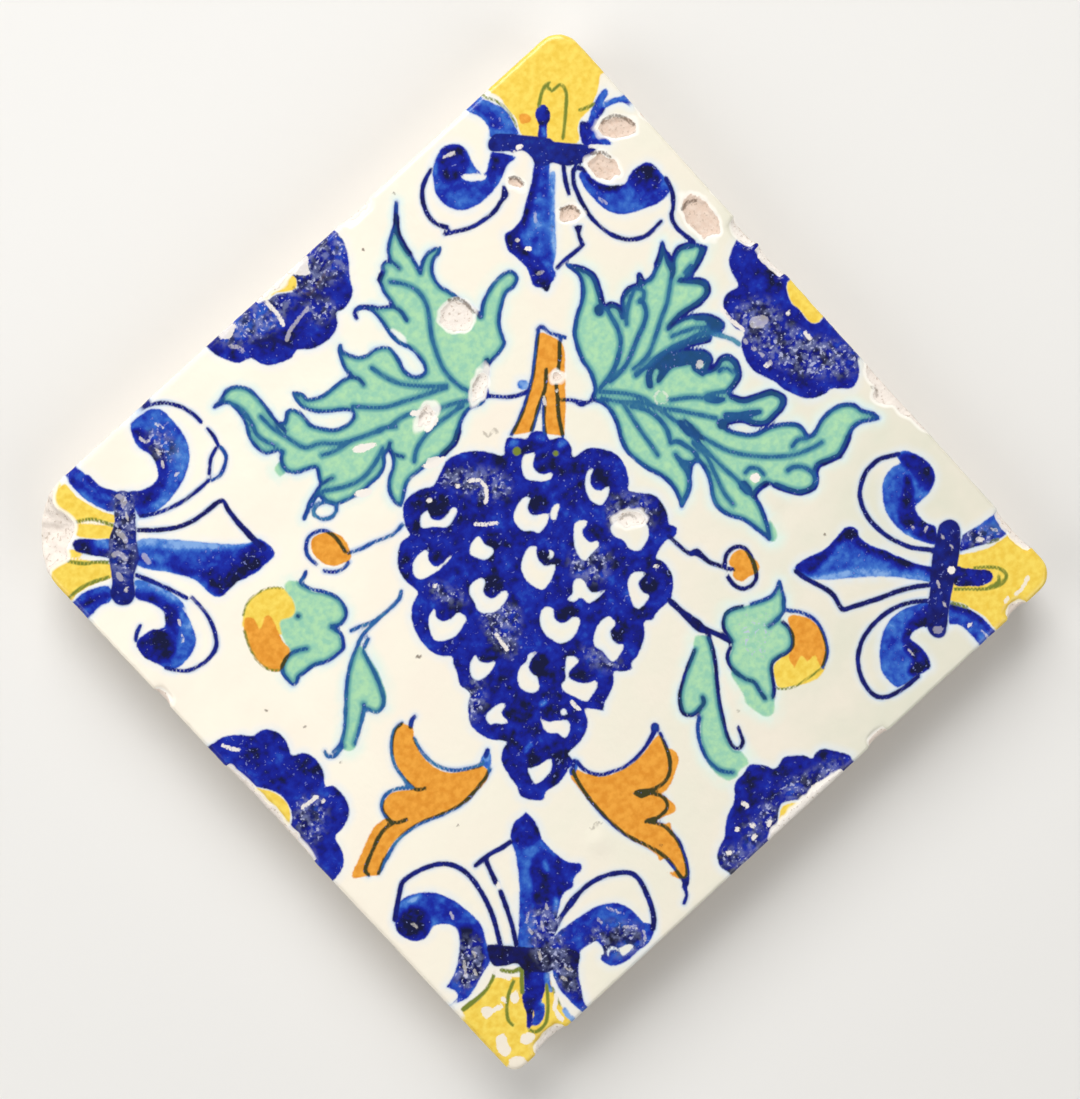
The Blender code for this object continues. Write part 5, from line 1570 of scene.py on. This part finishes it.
    def wear(self, tree: bpy.types.NodeTree, fields: Sockets, grain: Sockets, masks: Sockets) -> list[Coat]:
        """Worn specks, white scuffs with painted highlights, bare clay, and dark brown painted shade with a
        few dark dots.

        Args:
            tree: The node tree.
            fields: The distances and tones of the pigments.
            grain: Noises of several sizes.
            masks: The share of each pigment.

        Returns:
            The coats of colour with their shares.
        """
        # Specks lie thick in the worn places and thin elsewhere
        worn = add(
            tree,
            "ShaderNodeMapRange",
            {"Value": fields["worn"], "From Min": 1.2, "From Max": -1.2},
            interpolation_type="SMOOTHSTEP",
        ).outputs["Result"]
        dots = grain["fine"]
        for more, share in ((worn, 0.085), (grain["patch"], 0.25)):
            dots = add(
                tree, "ShaderNodeMath", {0: more, 1: share, 2: dots}, operation="MULTIPLY_ADD"
            ).outputs[0]
        cobalt = add(
            tree, "ShaderNodeMath", {0: masks["blue"], 1: masks["ink"]}, operation="MAXIMUM"
        ).outputs[0]
        worn_cobalt, worn_green = (
            add(tree, "ShaderNodeMath", {0: paint, 1: worn}, operation="MULTIPLY").outputs[0]
            for paint in (cobalt, masks["green"])
        )
        specked = add(tree, "ShaderNodeMath", {0: cobalt, 1: worn_green}, operation="MAXIMUM").outputs[0]
        speck_tint = add(
            tree,
            "ShaderNodeMix",
            {0: worn, 6: linear(self.specks[0]), 7: linear(self.specks[1])},
            data_type="RGBA",
        )

        # What drives each coat, where it begins and is full, its most, and what it keeps to
        # Glaze breaks off in steps, so a white lip stands round the clay.
        shares = {}
        for name, value, low, high, most, within in (
            ("haze", grain["streak"], 0.42, 0.58, 0.65, worn_cobalt),
            ("murk", grain["slow"], 0.52, 0.36, 0.8, worn_cobalt),
            ("speck", dots, 0.80, 0.87, 0.7, specked),
            ("lip", fields["flake"], 0.75, 0.35, 0.8, 1.0),
            ("pit", grain["fine"], 0.6, 0.68, 0.5, masks["flake"]),
        ):
            spread = add(
                tree,
                "ShaderNodeMapRange",
                {"Value": value, "From Min": low, "From Max": high, "To Max": most},
            ).outputs["Result"]
            shares[name] = add(
                tree, "ShaderNodeMath", {0: spread, 1: within}, operation="MULTIPLY"
            ).outputs[0]
        # White scuffs with painted highlights, and dark brown painted shade with a few dark dots, each as
        # strong as its tone
        for name in ("scuff", "dirt"):
            shares[name] = add(
                tree, "ShaderNodeMath", {0: masks[name], 1: fields[f"{name}_tone"]}, operation="MULTIPLY"
            ).outputs[0]
        bare = {}
        for name, (dark, light) in (("clay", self.clay), ("side", self.clay_side)):
            mixed = add(
                tree, "ShaderNodeMix", {0: grain["grit"], 6: linear(dark), 7: linear(light)}, data_type="RGBA"
            )
            bare[name] = mixed.outputs[2]
        inner = add(
            tree,
            "ShaderNodeMix",
            {0: fields["flake_tone"], 6: linear(self.bared), 7: bare["clay"]},
            data_type="RGBA",
        )
        return [
            (linear(self.haze), shares["haze"]),
            (linear(self.murk), shares["murk"]),
            (speck_tint.outputs[2], shares["speck"]),
            # White scuffs, and painted highlights on the rosette's relief
            (linear(self.bared), shares["scuff"]),
            (linear(self.lip), shares["lip"]),
            (inner.outputs[2], masks["flake"]),
            (bare["side"], masks["side"]),
            (linear(self.pit), shares["pit"]),
            # Dark brown painted shade on the upper walls of the flakes and round the rosette's relief, and a
            # few dark dots
            (linear(self.soil), shares["dirt"]),
        ]

    def set_stops(self, ramp: bpy.types.Node, stops: list[tuple[float, str]]) -> None:
        """Set the colours along a ramp.

        Args:
            ramp: The ramp's node.
            stops: The place and hex colour of each stop.
        """
        elements = ramp.color_ramp.elements
        while len(elements) < len(stops):
            elements.new(0.5)
        for element, (position, code) in zip(elements, stops):
            element.position = position
            element.color = linear(code)


@dataclass
class Tile:
    """The tile: face with its relief, worn rim, tapering sides and back.

    Sizes are in millimetres. A bump is its place right and up, its spread and its rise.
    """

    side: float = 130.0
    thickness: float = 14.0
    back_inset: float = 1.2
    rim: float = 0.9
    cells: int = 280
    back_cells: int = 70
    top_corner: float = 4.5
    right_corner: float = 4.0
    bottom_corner: float = 2.5
    broken_corner: float = 13.7
    least_radius: float = 0.8
    waviness: float = 0.12
    face_drop: float = 0.05
    flake_depth: float = 0.5
    flake_wall: float = 0.4
    spall_inner: float = -74.0
    spall_slope: float = 0.6
    spall_depth: float = 2.4
    rim_angles: tuple[int, ...] = (30, 60, 90)
    side_levels: tuple[float, ...] = (2.0, 3.4, 5.4, 7.8, 10.2, 12.4, 13.75)
    inset_fade: float = 2.6
    drop_fade: float = 3.0
    flakes: tuple[Flake, ...] = (
        Flake(10.6, 74.4, 3.2, 1.9, 8),
        Flake(8.6, 67.5, 2.8, 2.1, -25),
        Flake(-6.5, 64.0, 1.3, 0.9, -35),
        Flake(3.1, 59.0, 1.8, 1.4, 0),
        Flake(25.9, 59.6, 4.2, 2.4, -50),
        Flake(-15.7, 40.5, 2.9, 2.7, 0, 0.2),
        Flake(-11.2, 28.7, 2.6, 1.1, 75, 0.1),
        Flake(2.0, 30.8, 0.9, 0.8, 0, 0.6),
        Flake(-20.3, 22.9, 2.2, 1.2, 60, 0.15),
        Flake(16.0, 6.6, 2.4, 1.3, 10, 0.1),
    )
    bumps: tuple[tuple[float, float, float, float], ...] = (
        (13.0, -49.8, 1.5, 0.35),
        (43.0, 9.0, 1.5, -0.14),
        (17.0, -32.5, 1.0, -0.05),
        (58.5, 31.0, 1.1, 0.05),
        (70.9, -10.8, 0.9, 0.12),
        (29.5, 62.0, 1.4, 0.12),
        (84.3, 8.0, 2.0, -0.10),
    )
    chips: tuple[Chip, ...] = (
        Chip((1, 0), 0.262, 6.2, 1.3, 2.4, 0.1),
        Chip((1, 0), 0.155, 7.0, 0.9, 1.8, 0.05),
        Chip((1, 0), -0.826, 9.2, 0.9, 2.0, 0.2),
        Chip((0, -1), 0.854, 4.4, 1.0, 1.8, 0.5),
        Chip((0, -1), 0.341, 4.6, 0.9, 1.5, 0.5),
        Chip((0, -1), 0.075, 18.0, 1.6, 2.2, 0),
        Chip((0, -1), -0.862, 7.2, 1.1, 2.4, 0.15),
        Chip((-1, 0), -0.392, 4.0, 0.8, 1.5, 0.6),
        Chip((-1, 0), 0.030, 23.0, 0.8, 1.4, 0.2),
        Chip((0, 1), 0.022, 10.5, 0.9, 1.6, 0),
        Chip((0, 1), -0.262, 6.4, 0.8, 1.4, 0.1),
    )
    spall: str = (
        "-90,10 -84.4,9.6 -83.6,8 -83.9,6 -83.2,4.2 -81,2.8 -79.9,1.4 -80.3,-.8 -81.2,-2.8 -80.9,-4.3 "
        "-82.6,-5.4 -84.2,-6.8 -84.8,-8.4 -90,-10"
    )
    scar: str = (
        "66,32 56.4,34.6 56.6,33 57.8,31.6 57.6,29.6 59.6,28.6 61.4,28.6 62.6,27.2 64.6,26.4 66.4,24.8 "
        "68,24.6 70,25"
    )
    finish: TinGlazeFinish = field(default_factory=TinGlazeFinish)

    def corners(
        self, x: np.ndarray, y: np.ndarray, half: float, cut: float
    ) -> Iterator[tuple[int, int, float, np.ndarray, np.ndarray, np.ndarray]]:
        """Find the places that lie in the rounds of the four corners, corner by corner.

        Args:
            x: Places along X.
            y: Places along Y.
            half: Half side of the square.
            cut: How much smaller than the face's outline the square is.

        Yields:
            The corner's signs along X and Y, its radius, which places lie in its round, and how
            far out these are along X and Y as shares of the radius.
        """
        for sx, sy, radius in (
            (1, 1, self.top_corner),
            (1, -1, self.right_corner),
            (-1, -1, self.bottom_corner),
            (-1, 1, self.broken_corner),
        ):
            radius = max(radius - cut, self.least_radius)
            a = (x * sx - (half - radius)) / radius
            b = (y * sy - (half - radius)) / radius
            inside = (a > 0) & (b > 0)
            yield sx, sy, radius, inside, a[inside], b[inside]

    def rounded(
        self, x: np.ndarray, y: np.ndarray, half: float, cut: float
    ) -> tuple[np.ndarray, np.ndarray]:
        """Pull the four corners of a square grid in to their rounds.

        Args:
            x: Places along X.
            y: Places along Y.
            half: Half side of the square.
            cut: How much smaller than the face's outline the square is.

        Returns:
            The new places.
        """
        x, y = x.copy(), y.copy()
        for sx, sy, radius, inside, a, b in self.corners(x, y, half, cut):
            scale = np.maximum(a, b) / np.hypot(a, b)
            x[inside] = sx * (half - radius + radius * a * scale)
            y[inside] = sy * (half - radius + radius * b * scale)
        return x, y

    def chip_inset(self, x: np.ndarray, y: np.ndarray) -> tuple[np.ndarray, np.ndarray, np.ndarray]:
        """Shift and depth that the chips give to places near the rim.

        Chips with no clay in their colour are left uncut here, and only bare_chips shows them.

        Args:
            x: Places along X.
            y: Places along Y.

        Returns:
            The shifts along X and Y, and how much lower the places are.
        """
        dx, dy, drop = np.zeros_like(x), np.zeros_like(x), np.zeros_like(x)
        half = self.side / 2
        for chip in self.chips:
            if chip.clay == 0.0:
                continue
            ox, oy = chip.side
            along = x * -oy + y * ox - chip.along * half
            across = half - (x * ox + y * oy)
            shell = np.sqrt(np.clip(1 - (along / (chip.length / 2)) ** 2, 0, 1))
            reach = np.clip(1 - across / (chip.inset * 3.0), 0, 1)
            dx -= ox * chip.inset * shell * reach
            dy -= oy * chip.inset * shell * reach
            drop += 0.35 * chip.depth * shell * np.clip(1 - (across - 0.9) / (chip.inset * 1.2), 0, 1)
        return dx, dy, drop

    def build(self) -> bpy.types.Object:
        """Build the tile's mesh and paint it.

        Returns:
            The piece.
        """
        n = self.cells
        half = self.side / 2 - self.rim
        steps = np.linspace(-half, half, n + 1)
        gx, gy = np.meshgrid(steps, steps, indexing="ij")
        gx, gy = self.rounded(gx, gy, half, self.rim)
        dx, dy, drop = self.chip_inset(gx, gy)
        fx, fy = gx + dx, gy + dy

        loop = outline(n)
        li = np.array([i for i, _ in loop])
        lj = np.array([j for _, j in loop])
        ex, ey = gx[li, lj], gy[li, lj]
        nx, ny = self.outline_normals(ex, ey, half)

        u, v = (fx - fy) / ROOT2, (fx + fy) / ROOT2
        fields = self.paint(u, v)
        fz = self.face_height(u, v, fields) - drop
        self.bare_chips(fields, gx, gy)
        count = (n + 1) ** 2
        xs, ys, zs = [fx.ravel()], [fy.ravel()], [fz.ravel()]
        fall = [np.clip(np.maximum(np.abs(gx), np.abs(gy)) - half, -fields.FAR, 0).ravel()]

        # Rounded rim, then the sides, which taper in towards the back
        cdx, cdy, cdrop = dx[li, lj], dy[li, lj], drop[li, lj]
        rim_z = fz[li, lj] + cdrop
        rings = []
        for angle in self.rim_angles:
            out = self.rim * math.sin(math.radians(angle))
            down = self.rim * (1 - math.cos(math.radians(angle)))
            rings.append((out, down))
        for down in self.side_levels:
            out = self.rim - self.back_inset * down / self.thickness
            rings.append((out, down))
        for out, down in rings:
            fade = max(0.0, 1.0 - down / self.inset_fade)
            px = ex + nx * out + cdx * fade
            py = ey + ny * out + cdy * fade
            rough = np.array(
                [noise.noise(Vector((a * 0.45, b * 0.45, down * 0.5))) for a, b in zip(px, py)]
            )
            dig = np.abs(rough) * (0.35 if down > self.rim + 0.05 else 0.1)
            px, py = px - nx * dig, py - ny * dig
            z = rim_z - down
            z = z - cdrop * max(0.0, 1.0 - down / self.drop_fade)
            if down > self.drop_fade:
                z = np.full_like(z, self.thickness - down)
            xs.append(px)
            ys.append(py)
            zs.append(z)
            fall.append(np.full(len(px), down))
        last_ring = count + (len(rings) - 1) * len(loop)

        # Back: a coarser grid with one place for four of the ring above
        m = self.back_cells
        back_half = self.side / 2 - self.back_inset
        bsteps = np.linspace(-back_half, back_half, m + 1)
        bx, by = np.meshgrid(bsteps, bsteps, indexing="ij")
        bx, by = self.rounded(bx, by, back_half, self.back_inset)
        back_start = count + len(rings) * len(loop)
        xs.append(bx.ravel())
        ys.append(by.ravel())
        zs.append(np.zeros(bx.size))
        fall.append(np.full(bx.size, self.thickness))

        verts = np.stack([np.concatenate(xs), np.concatenate(ys), np.concatenate(zs)], 1) * MM
        faces, uvs, smooth = self.faces(n, m, li, lj, count, len(rings), last_ring, back_start)
        mesh = bpy.data.meshes.new("tile")
        mesh.from_pydata(verts.tolist(), [], faces)
        mesh.polygons.foreach_set("use_smooth", smooth)
        layer = mesh.uv_layers.new(name="OFBake")
        layer.data.foreach_set("uv", np.array(uvs, dtype=np.float32).ravel())
        self.store(mesh, fields, np.concatenate(fall), li * (n + 1) + lj, rings, bx.size)
        mesh.update()
        piece = bpy.data.objects.new("painted_tile", mesh)
        bpy.context.scene.collection.objects.link(piece)
        mesh.materials.append(self.finish.build())
        return piece

    def outline_normals(self, x: np.ndarray, y: np.ndarray, half: float) -> tuple[np.ndarray, np.ndarray]:
        """Unit directions out of the outline at its places.

        Args:
            x: Places along X.
            y: Places along Y.
            half: Half side of the outline.

        Returns:
            The directions along X and Y.
        """
        nx = np.where(np.abs(np.abs(x) - half) < 1e-4, np.sign(x), 0.0)
        ny = np.where(np.abs(np.abs(y) - half) < 1e-4, np.sign(y), 0.0)
        for sx, sy, _, inside, a, b in self.corners(x, y, half, self.rim):
            size = np.hypot(a, b)
            nx[inside] = sx * a / size
            ny[inside] = sy * b / size
        return nx, ny

    def paint(self, u: np.ndarray, v: np.ndarray) -> Fields:
        """Lay every touch of the painting and the flakes over the face.

        Args:
            u: Places to the right.
            v: Places up.

        Returns:
            The pigments' fields.
        """
        fields = Fields(u, v)
        for touch in Painting().touches():
            fields.add(touch)
        for flake in self.flakes:
            near = np.hypot(u - flake.u, v - flake.v) < flake.half_length + fields.FAR
            fields.lay(Layer.FLAKE, near, flake.distance(u[near], v[near]), flake.clay)
        fields.add(Touch(Layer.FLAKE, self.spall, tone=0.3))
        fields.add(Touch(Layer.FLAKE, self.scar, tone=0.25))
        return fields

    def bare_chips(self, fields: Fields, x: np.ndarray, y: np.ndarray) -> None:
        """Show the clay inside the chips of the rim.

        Args:
            fields: The pigments' fields, which are changed.
            x: Places along X, before the chips shift them.
            y: Places along Y, before the chips shift them.
        """
        for chip in self.chips:
            ox, oy = chip.side
            along = x * -oy + y * ox - chip.along * self.side / 2
            across = self.side / 2 - (x * ox + y * oy)
            near = (np.abs(along) < chip.length / 2) & (across < 4.0)
            shell = np.sqrt(1 - (along[near] / (chip.length / 2)) ** 2)
            ragged = np.array(
                [noise.noise(Vector((a * 0.9, b * 0.9, 2.6))) for a, b in zip(x[near], y[near])]
            )
            gap = across[near] - 0.9 * chip.inset * shell + 0.5 * ragged
            fields.lay(Layer.FLAKE, near, gap, chip.clay)

    def face_height(self, u: np.ndarray, v: np.ndarray, fields: Fields) -> np.ndarray:
        """Height of the face above the back's plane.

        Args:
            u: Places to the right.
            v: Places up.
            fields: The pigments' fields, with the flakes.

        Returns:
            The heights in millimetres.
        """
        wave = np.array(
            [noise.noise(Vector((a * 0.03, b * 0.03, 4.2))) for a, b in zip(u.ravel(), v.ravel())]
        ).reshape(u.shape)
        z = np.full(u.shape, self.thickness - self.face_drop) + wave * self.waviness
        z -= self.flake_depth * np.clip(-fields.distance[Layer.FLAKE] / self.flake_wall, 0, 1)
        points, widths, corners = read_path(self.spall)
        path, _ = smooth_path(points, widths * 0, corners, True)
        near = u < self.spall_inner
        gap = path_distance(u[near], v[near], path, np.zeros(len(path)), True)
        rough = np.array([noise.noise(Vector((a * 0.7, b * 0.7, 5.5))) for a, b in zip(u[near], v[near])])
        z[near] -= np.clip(-gap * self.spall_slope, 0, self.spall_depth) + rough * 0.5 * np.clip(-gap, 0, 1)
        for bu, bv, spread, rise in self.bumps:
            z += rise * np.exp(-((u - bu) ** 2 + (v - bv) ** 2) / (2 * spread**2))
        return z

    def faces(
        self, n: int, m: int, li: np.ndarray, lj: np.ndarray, count: int, rings: int, last: int, back: int
    ) -> tuple[list, list, list]:
        """Connect the face, the rings and the back.

        Args:
            n: Cells across the face.
            m: Cells across the back.
            li: Grid rows of the outline.
            lj: Grid columns of the outline.
            count: Number of face places.
            rings: Number of rings.
            last: First place of the lowest ring.
            back: First place of the back.

        Returns:
            The faces, a UV for each corner and the smooth flags.
        """
        faces, uvs, smooth = [], [], []
        scale = UV_FACE / n
        for i in range(n):
            for j in range(n):
                corners = ((i, j), (i + 1, j), (i + 1, j + 1), (i, j + 1))
                faces.append([a * (n + 1) + b for a, b in corners])
                uvs.extend((UV_MARGIN + a * scale, UV_MARGIN + b * scale) for a, b in corners)
                smooth.append(True)
        total = 4 * n
        starts = [li * (n + 1) + lj] + [count + k * total + np.arange(total) for k in range(rings)]
        starts = [list(map(int, start)) for start in starts]

        def strip(place: int, level: float, quarter: int) -> tuple[float, float]:
            """UV of a place on one side's strip."""
            across = UV_MARGIN + (place - quarter * n) * scale
            return across, UV_BESIDE + quarter * UV_STRIP_STEP + level * UV_STRIP

        for k in range(rings):
            upper, lower = starts[k], starts[k + 1]
            for p in range(total):
                q = (p + 1) % total
                faces.append([upper[q], upper[p], lower[p], lower[q]])
                quarter = p // n
                a, b = k / (rings + 1), (k + 1) / (rings + 1)
                places = ((p + 1, a), (p, a), (p, b), (p + 1, b))
                uvs.extend(strip(place, level, quarter) for place, level in places)
                smooth.append(True)
        ratio = n // m
        ids = [back + a * (m + 1) + b for a, b in outline(m)]
        lower = starts[-1]
        for p in range(4 * m):
            q = (p + 1) % (4 * m)
            upper = [lower[(p * ratio + k) % total] for k in range(ratio, -1, -1)]
            faces.append([*upper, ids[p], ids[q]])
            quarter = p // m
            level = rings / (rings + 1)
            uvs.extend(strip(p * ratio + k, level, quarter) for k in range(ratio, -1, -1))
            uvs.extend((strip(p * ratio, 1.0, quarter), strip(p * ratio + ratio, 1.0, quarter)))
            smooth.append(True)
        for i in range(m):
            for j in range(m):
                corners = ((i, j), (i, j + 1), (i + 1, j + 1), (i + 1, j))
                faces.append([back + a * (m + 1) + b for a, b in corners])
                uvs.extend((UV_BESIDE + UV_BACK * a / m, UV_MARGIN + UV_BACK * b / m) for a, b in corners)
                smooth.append(False)
        return faces, uvs, smooth

    def store(
        self,
        mesh: bpy.types.Mesh,
        fields: Fields,
        fall: np.ndarray,
        loop_index: np.ndarray,
        rings: list[tuple[float, float]],
        back: int,
    ) -> None:
        """Keep the fields as attributes of the mesh, where the rings carry on the outline's values.

        Args:
            mesh: The tile's mesh.
            fields: The pigments' fields.
            fall: How far down each place lies, and below zero on the face.
            loop_index: The face's places along its outline.
            rings: How far out and down each ring lies.
            back: Number of places on the back.
        """
        names = {layer.value: fields.distance[layer] for layer in Layer}
        names |= {name: fields.tone[Layer(name.removesuffix("_tone"))] for name in TONES}
        for name, values in names.items():
            flat = values.ravel()
            edge = flat[loop_index]
            rest = 1.0 if name in TONES else fields.FAR
            outward = [out if name == Layer.FLAKE.value else 0.0 for out, _ in rings]
            everything = np.concatenate([flat, *(edge - out for out in outward), np.full(back, rest)])
            attribute = mesh.attributes.new(name, "FLOAT", "POINT")
            attribute.data.foreach_set("value", everything.astype(np.float32))
        attribute = mesh.attributes.new("fall", "FLOAT", "POINT")
        attribute.data.foreach_set("value", fall.astype(np.float32))


@dataclass
class Studio:
    """Pale floor, soft lights and the camera at the photo's angle. Sizes in metres."""

    floor_size: float = 4.0
    floor_gap: float = 0.0002
    face_level: float = 0.014
    paper: str = "E4E2DE"
    room: str = "F2F2F2"
    room_light: float = 0.22
    lens: float = 44.785
    sensor: float = 24.0
    shift: Vector = field(default_factory=lambda: Vector((-0.0005, -0.0006, -0.357)))
    turn: tuple[float, float, float] = (-2.46, 2.61, 1.41)

    # Name, place along the drawing's axes, size and power
    lamps: tuple[tuple[str, tuple[float, float, float], float, float], ...] = (
        ("window", (-0.25, 0.9, 0.8), 0.8, 13.9),
        ("fill_left", (-0.9, -0.2, 0.7), 0.9, 5.9),
        ("fill_right", (0.8, -0.5, 0.8), 0.9, 4.9),
    )

    def drawing_axes(self) -> Matrix:
        """Turn from the drawing's axes, with its origin on the face, to the tile's."""
        axes = Matrix(((1 / ROOT2, 1 / ROOT2, 0), (-1 / ROOT2, 1 / ROOT2, 0), (0, 0, 1))).to_4x4()
        return Matrix.Translation((0, 0, self.face_level)) @ axes

    def floor(self) -> None:
        """A plain pale floor under the tile."""
        mesh = bpy.data.meshes.new("floor")
        h = self.floor_size / 2
        mesh.from_pydata([(-h, -h, 0), (h, -h, 0), (h, h, 0), (-h, h, 0)], [], [(0, 1, 2, 3)])
        obj = bpy.data.objects.new("floor", mesh)
        obj.location.z = -self.floor_gap
        bpy.context.scene.collection.objects.link(obj)
        material = bpy.data.materials.new("pale_paper")
        material.use_nodes = True
        shader = material.node_tree.nodes["Principled BSDF"]
        shader.inputs["Base Color"].default_value = linear(self.paper)
        shader.inputs["Roughness"].default_value = 0.9
        mesh.materials.append(material)

    def light(self, name: str, place: tuple[float, float, float], size: float, power: float) -> None:
        """One soft square light that looks at the tile.

        Args:
            name: The light's name.
            place: Its place along the drawing's axes, in metres.
            size: Its side in metres.
            power: Its power in watts.
        """
        data = bpy.data.lights.new(name, "AREA")
        data.size = size
        data.energy = power
        obj = bpy.data.objects.new(name, data)
        where = self.drawing_axes() @ Vector(place)
        obj.location = where
        obj.rotation_euler = (-where).to_track_quat("-Z", "Y").to_euler()
        bpy.context.scene.collection.objects.link(obj)

    def lights(self) -> None:
        """Soft light from the top of the picture, with a weaker fill from the other sides."""
        for lamp in self.lamps:
            self.light(*lamp)
        world = bpy.data.worlds.new("room")
        bpy.context.scene.world = world
        world.use_nodes = True
        background = world.node_tree.nodes["Background"]
        background.inputs["Color"].default_value = linear(self.room)
        background.inputs["Strength"].default_value = self.room_light

    def camera(self) -> None:
        """The camera where the photo was taken from."""
        data = bpy.data.cameras.new("camera")
        data.sensor_fit = "VERTICAL"
        data.sensor_height = self.sensor
        data.lens = self.lens
        data.clip_start = 0.01
        obj = bpy.data.objects.new("camera", data)
        rz, ry, rx = (math.radians(angle) for angle in self.turn)
        turn = Matrix.Rotation(rz, 3, "Z") @ Matrix.Rotation(ry, 3, "Y") @ Matrix.Rotation(rx, 3, "X")
        back = turn.transposed()
        pose = Matrix.Translation(-(back @ self.shift)) @ back.to_4x4()
        obj.matrix_world = self.drawing_axes() @ pose
        bpy.context.scene.collection.objects.link(obj)
        bpy.context.scene.camera = obj

    def build(self) -> None:
        """Set up the floor, lights, camera and view."""
        self.floor()
        self.lights()
        self.camera()
        bpy.context.scene.view_settings.view_transform = "Standard"


def main() -> None:
    """Build the tile and the studio and report the piece."""
    logging.basicConfig(level=logging.INFO, format="%(message)s")
    piece = Tile().build()
    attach(piece, "root")
    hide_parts("tile")
    triangles = sum(len(face.vertices) - 2 for face in piece.data.polygons)
    LOG.info("%s: %d triangles", piece.name, triangles)
    Studio().build()


if __name__ == "__main__":
    main()
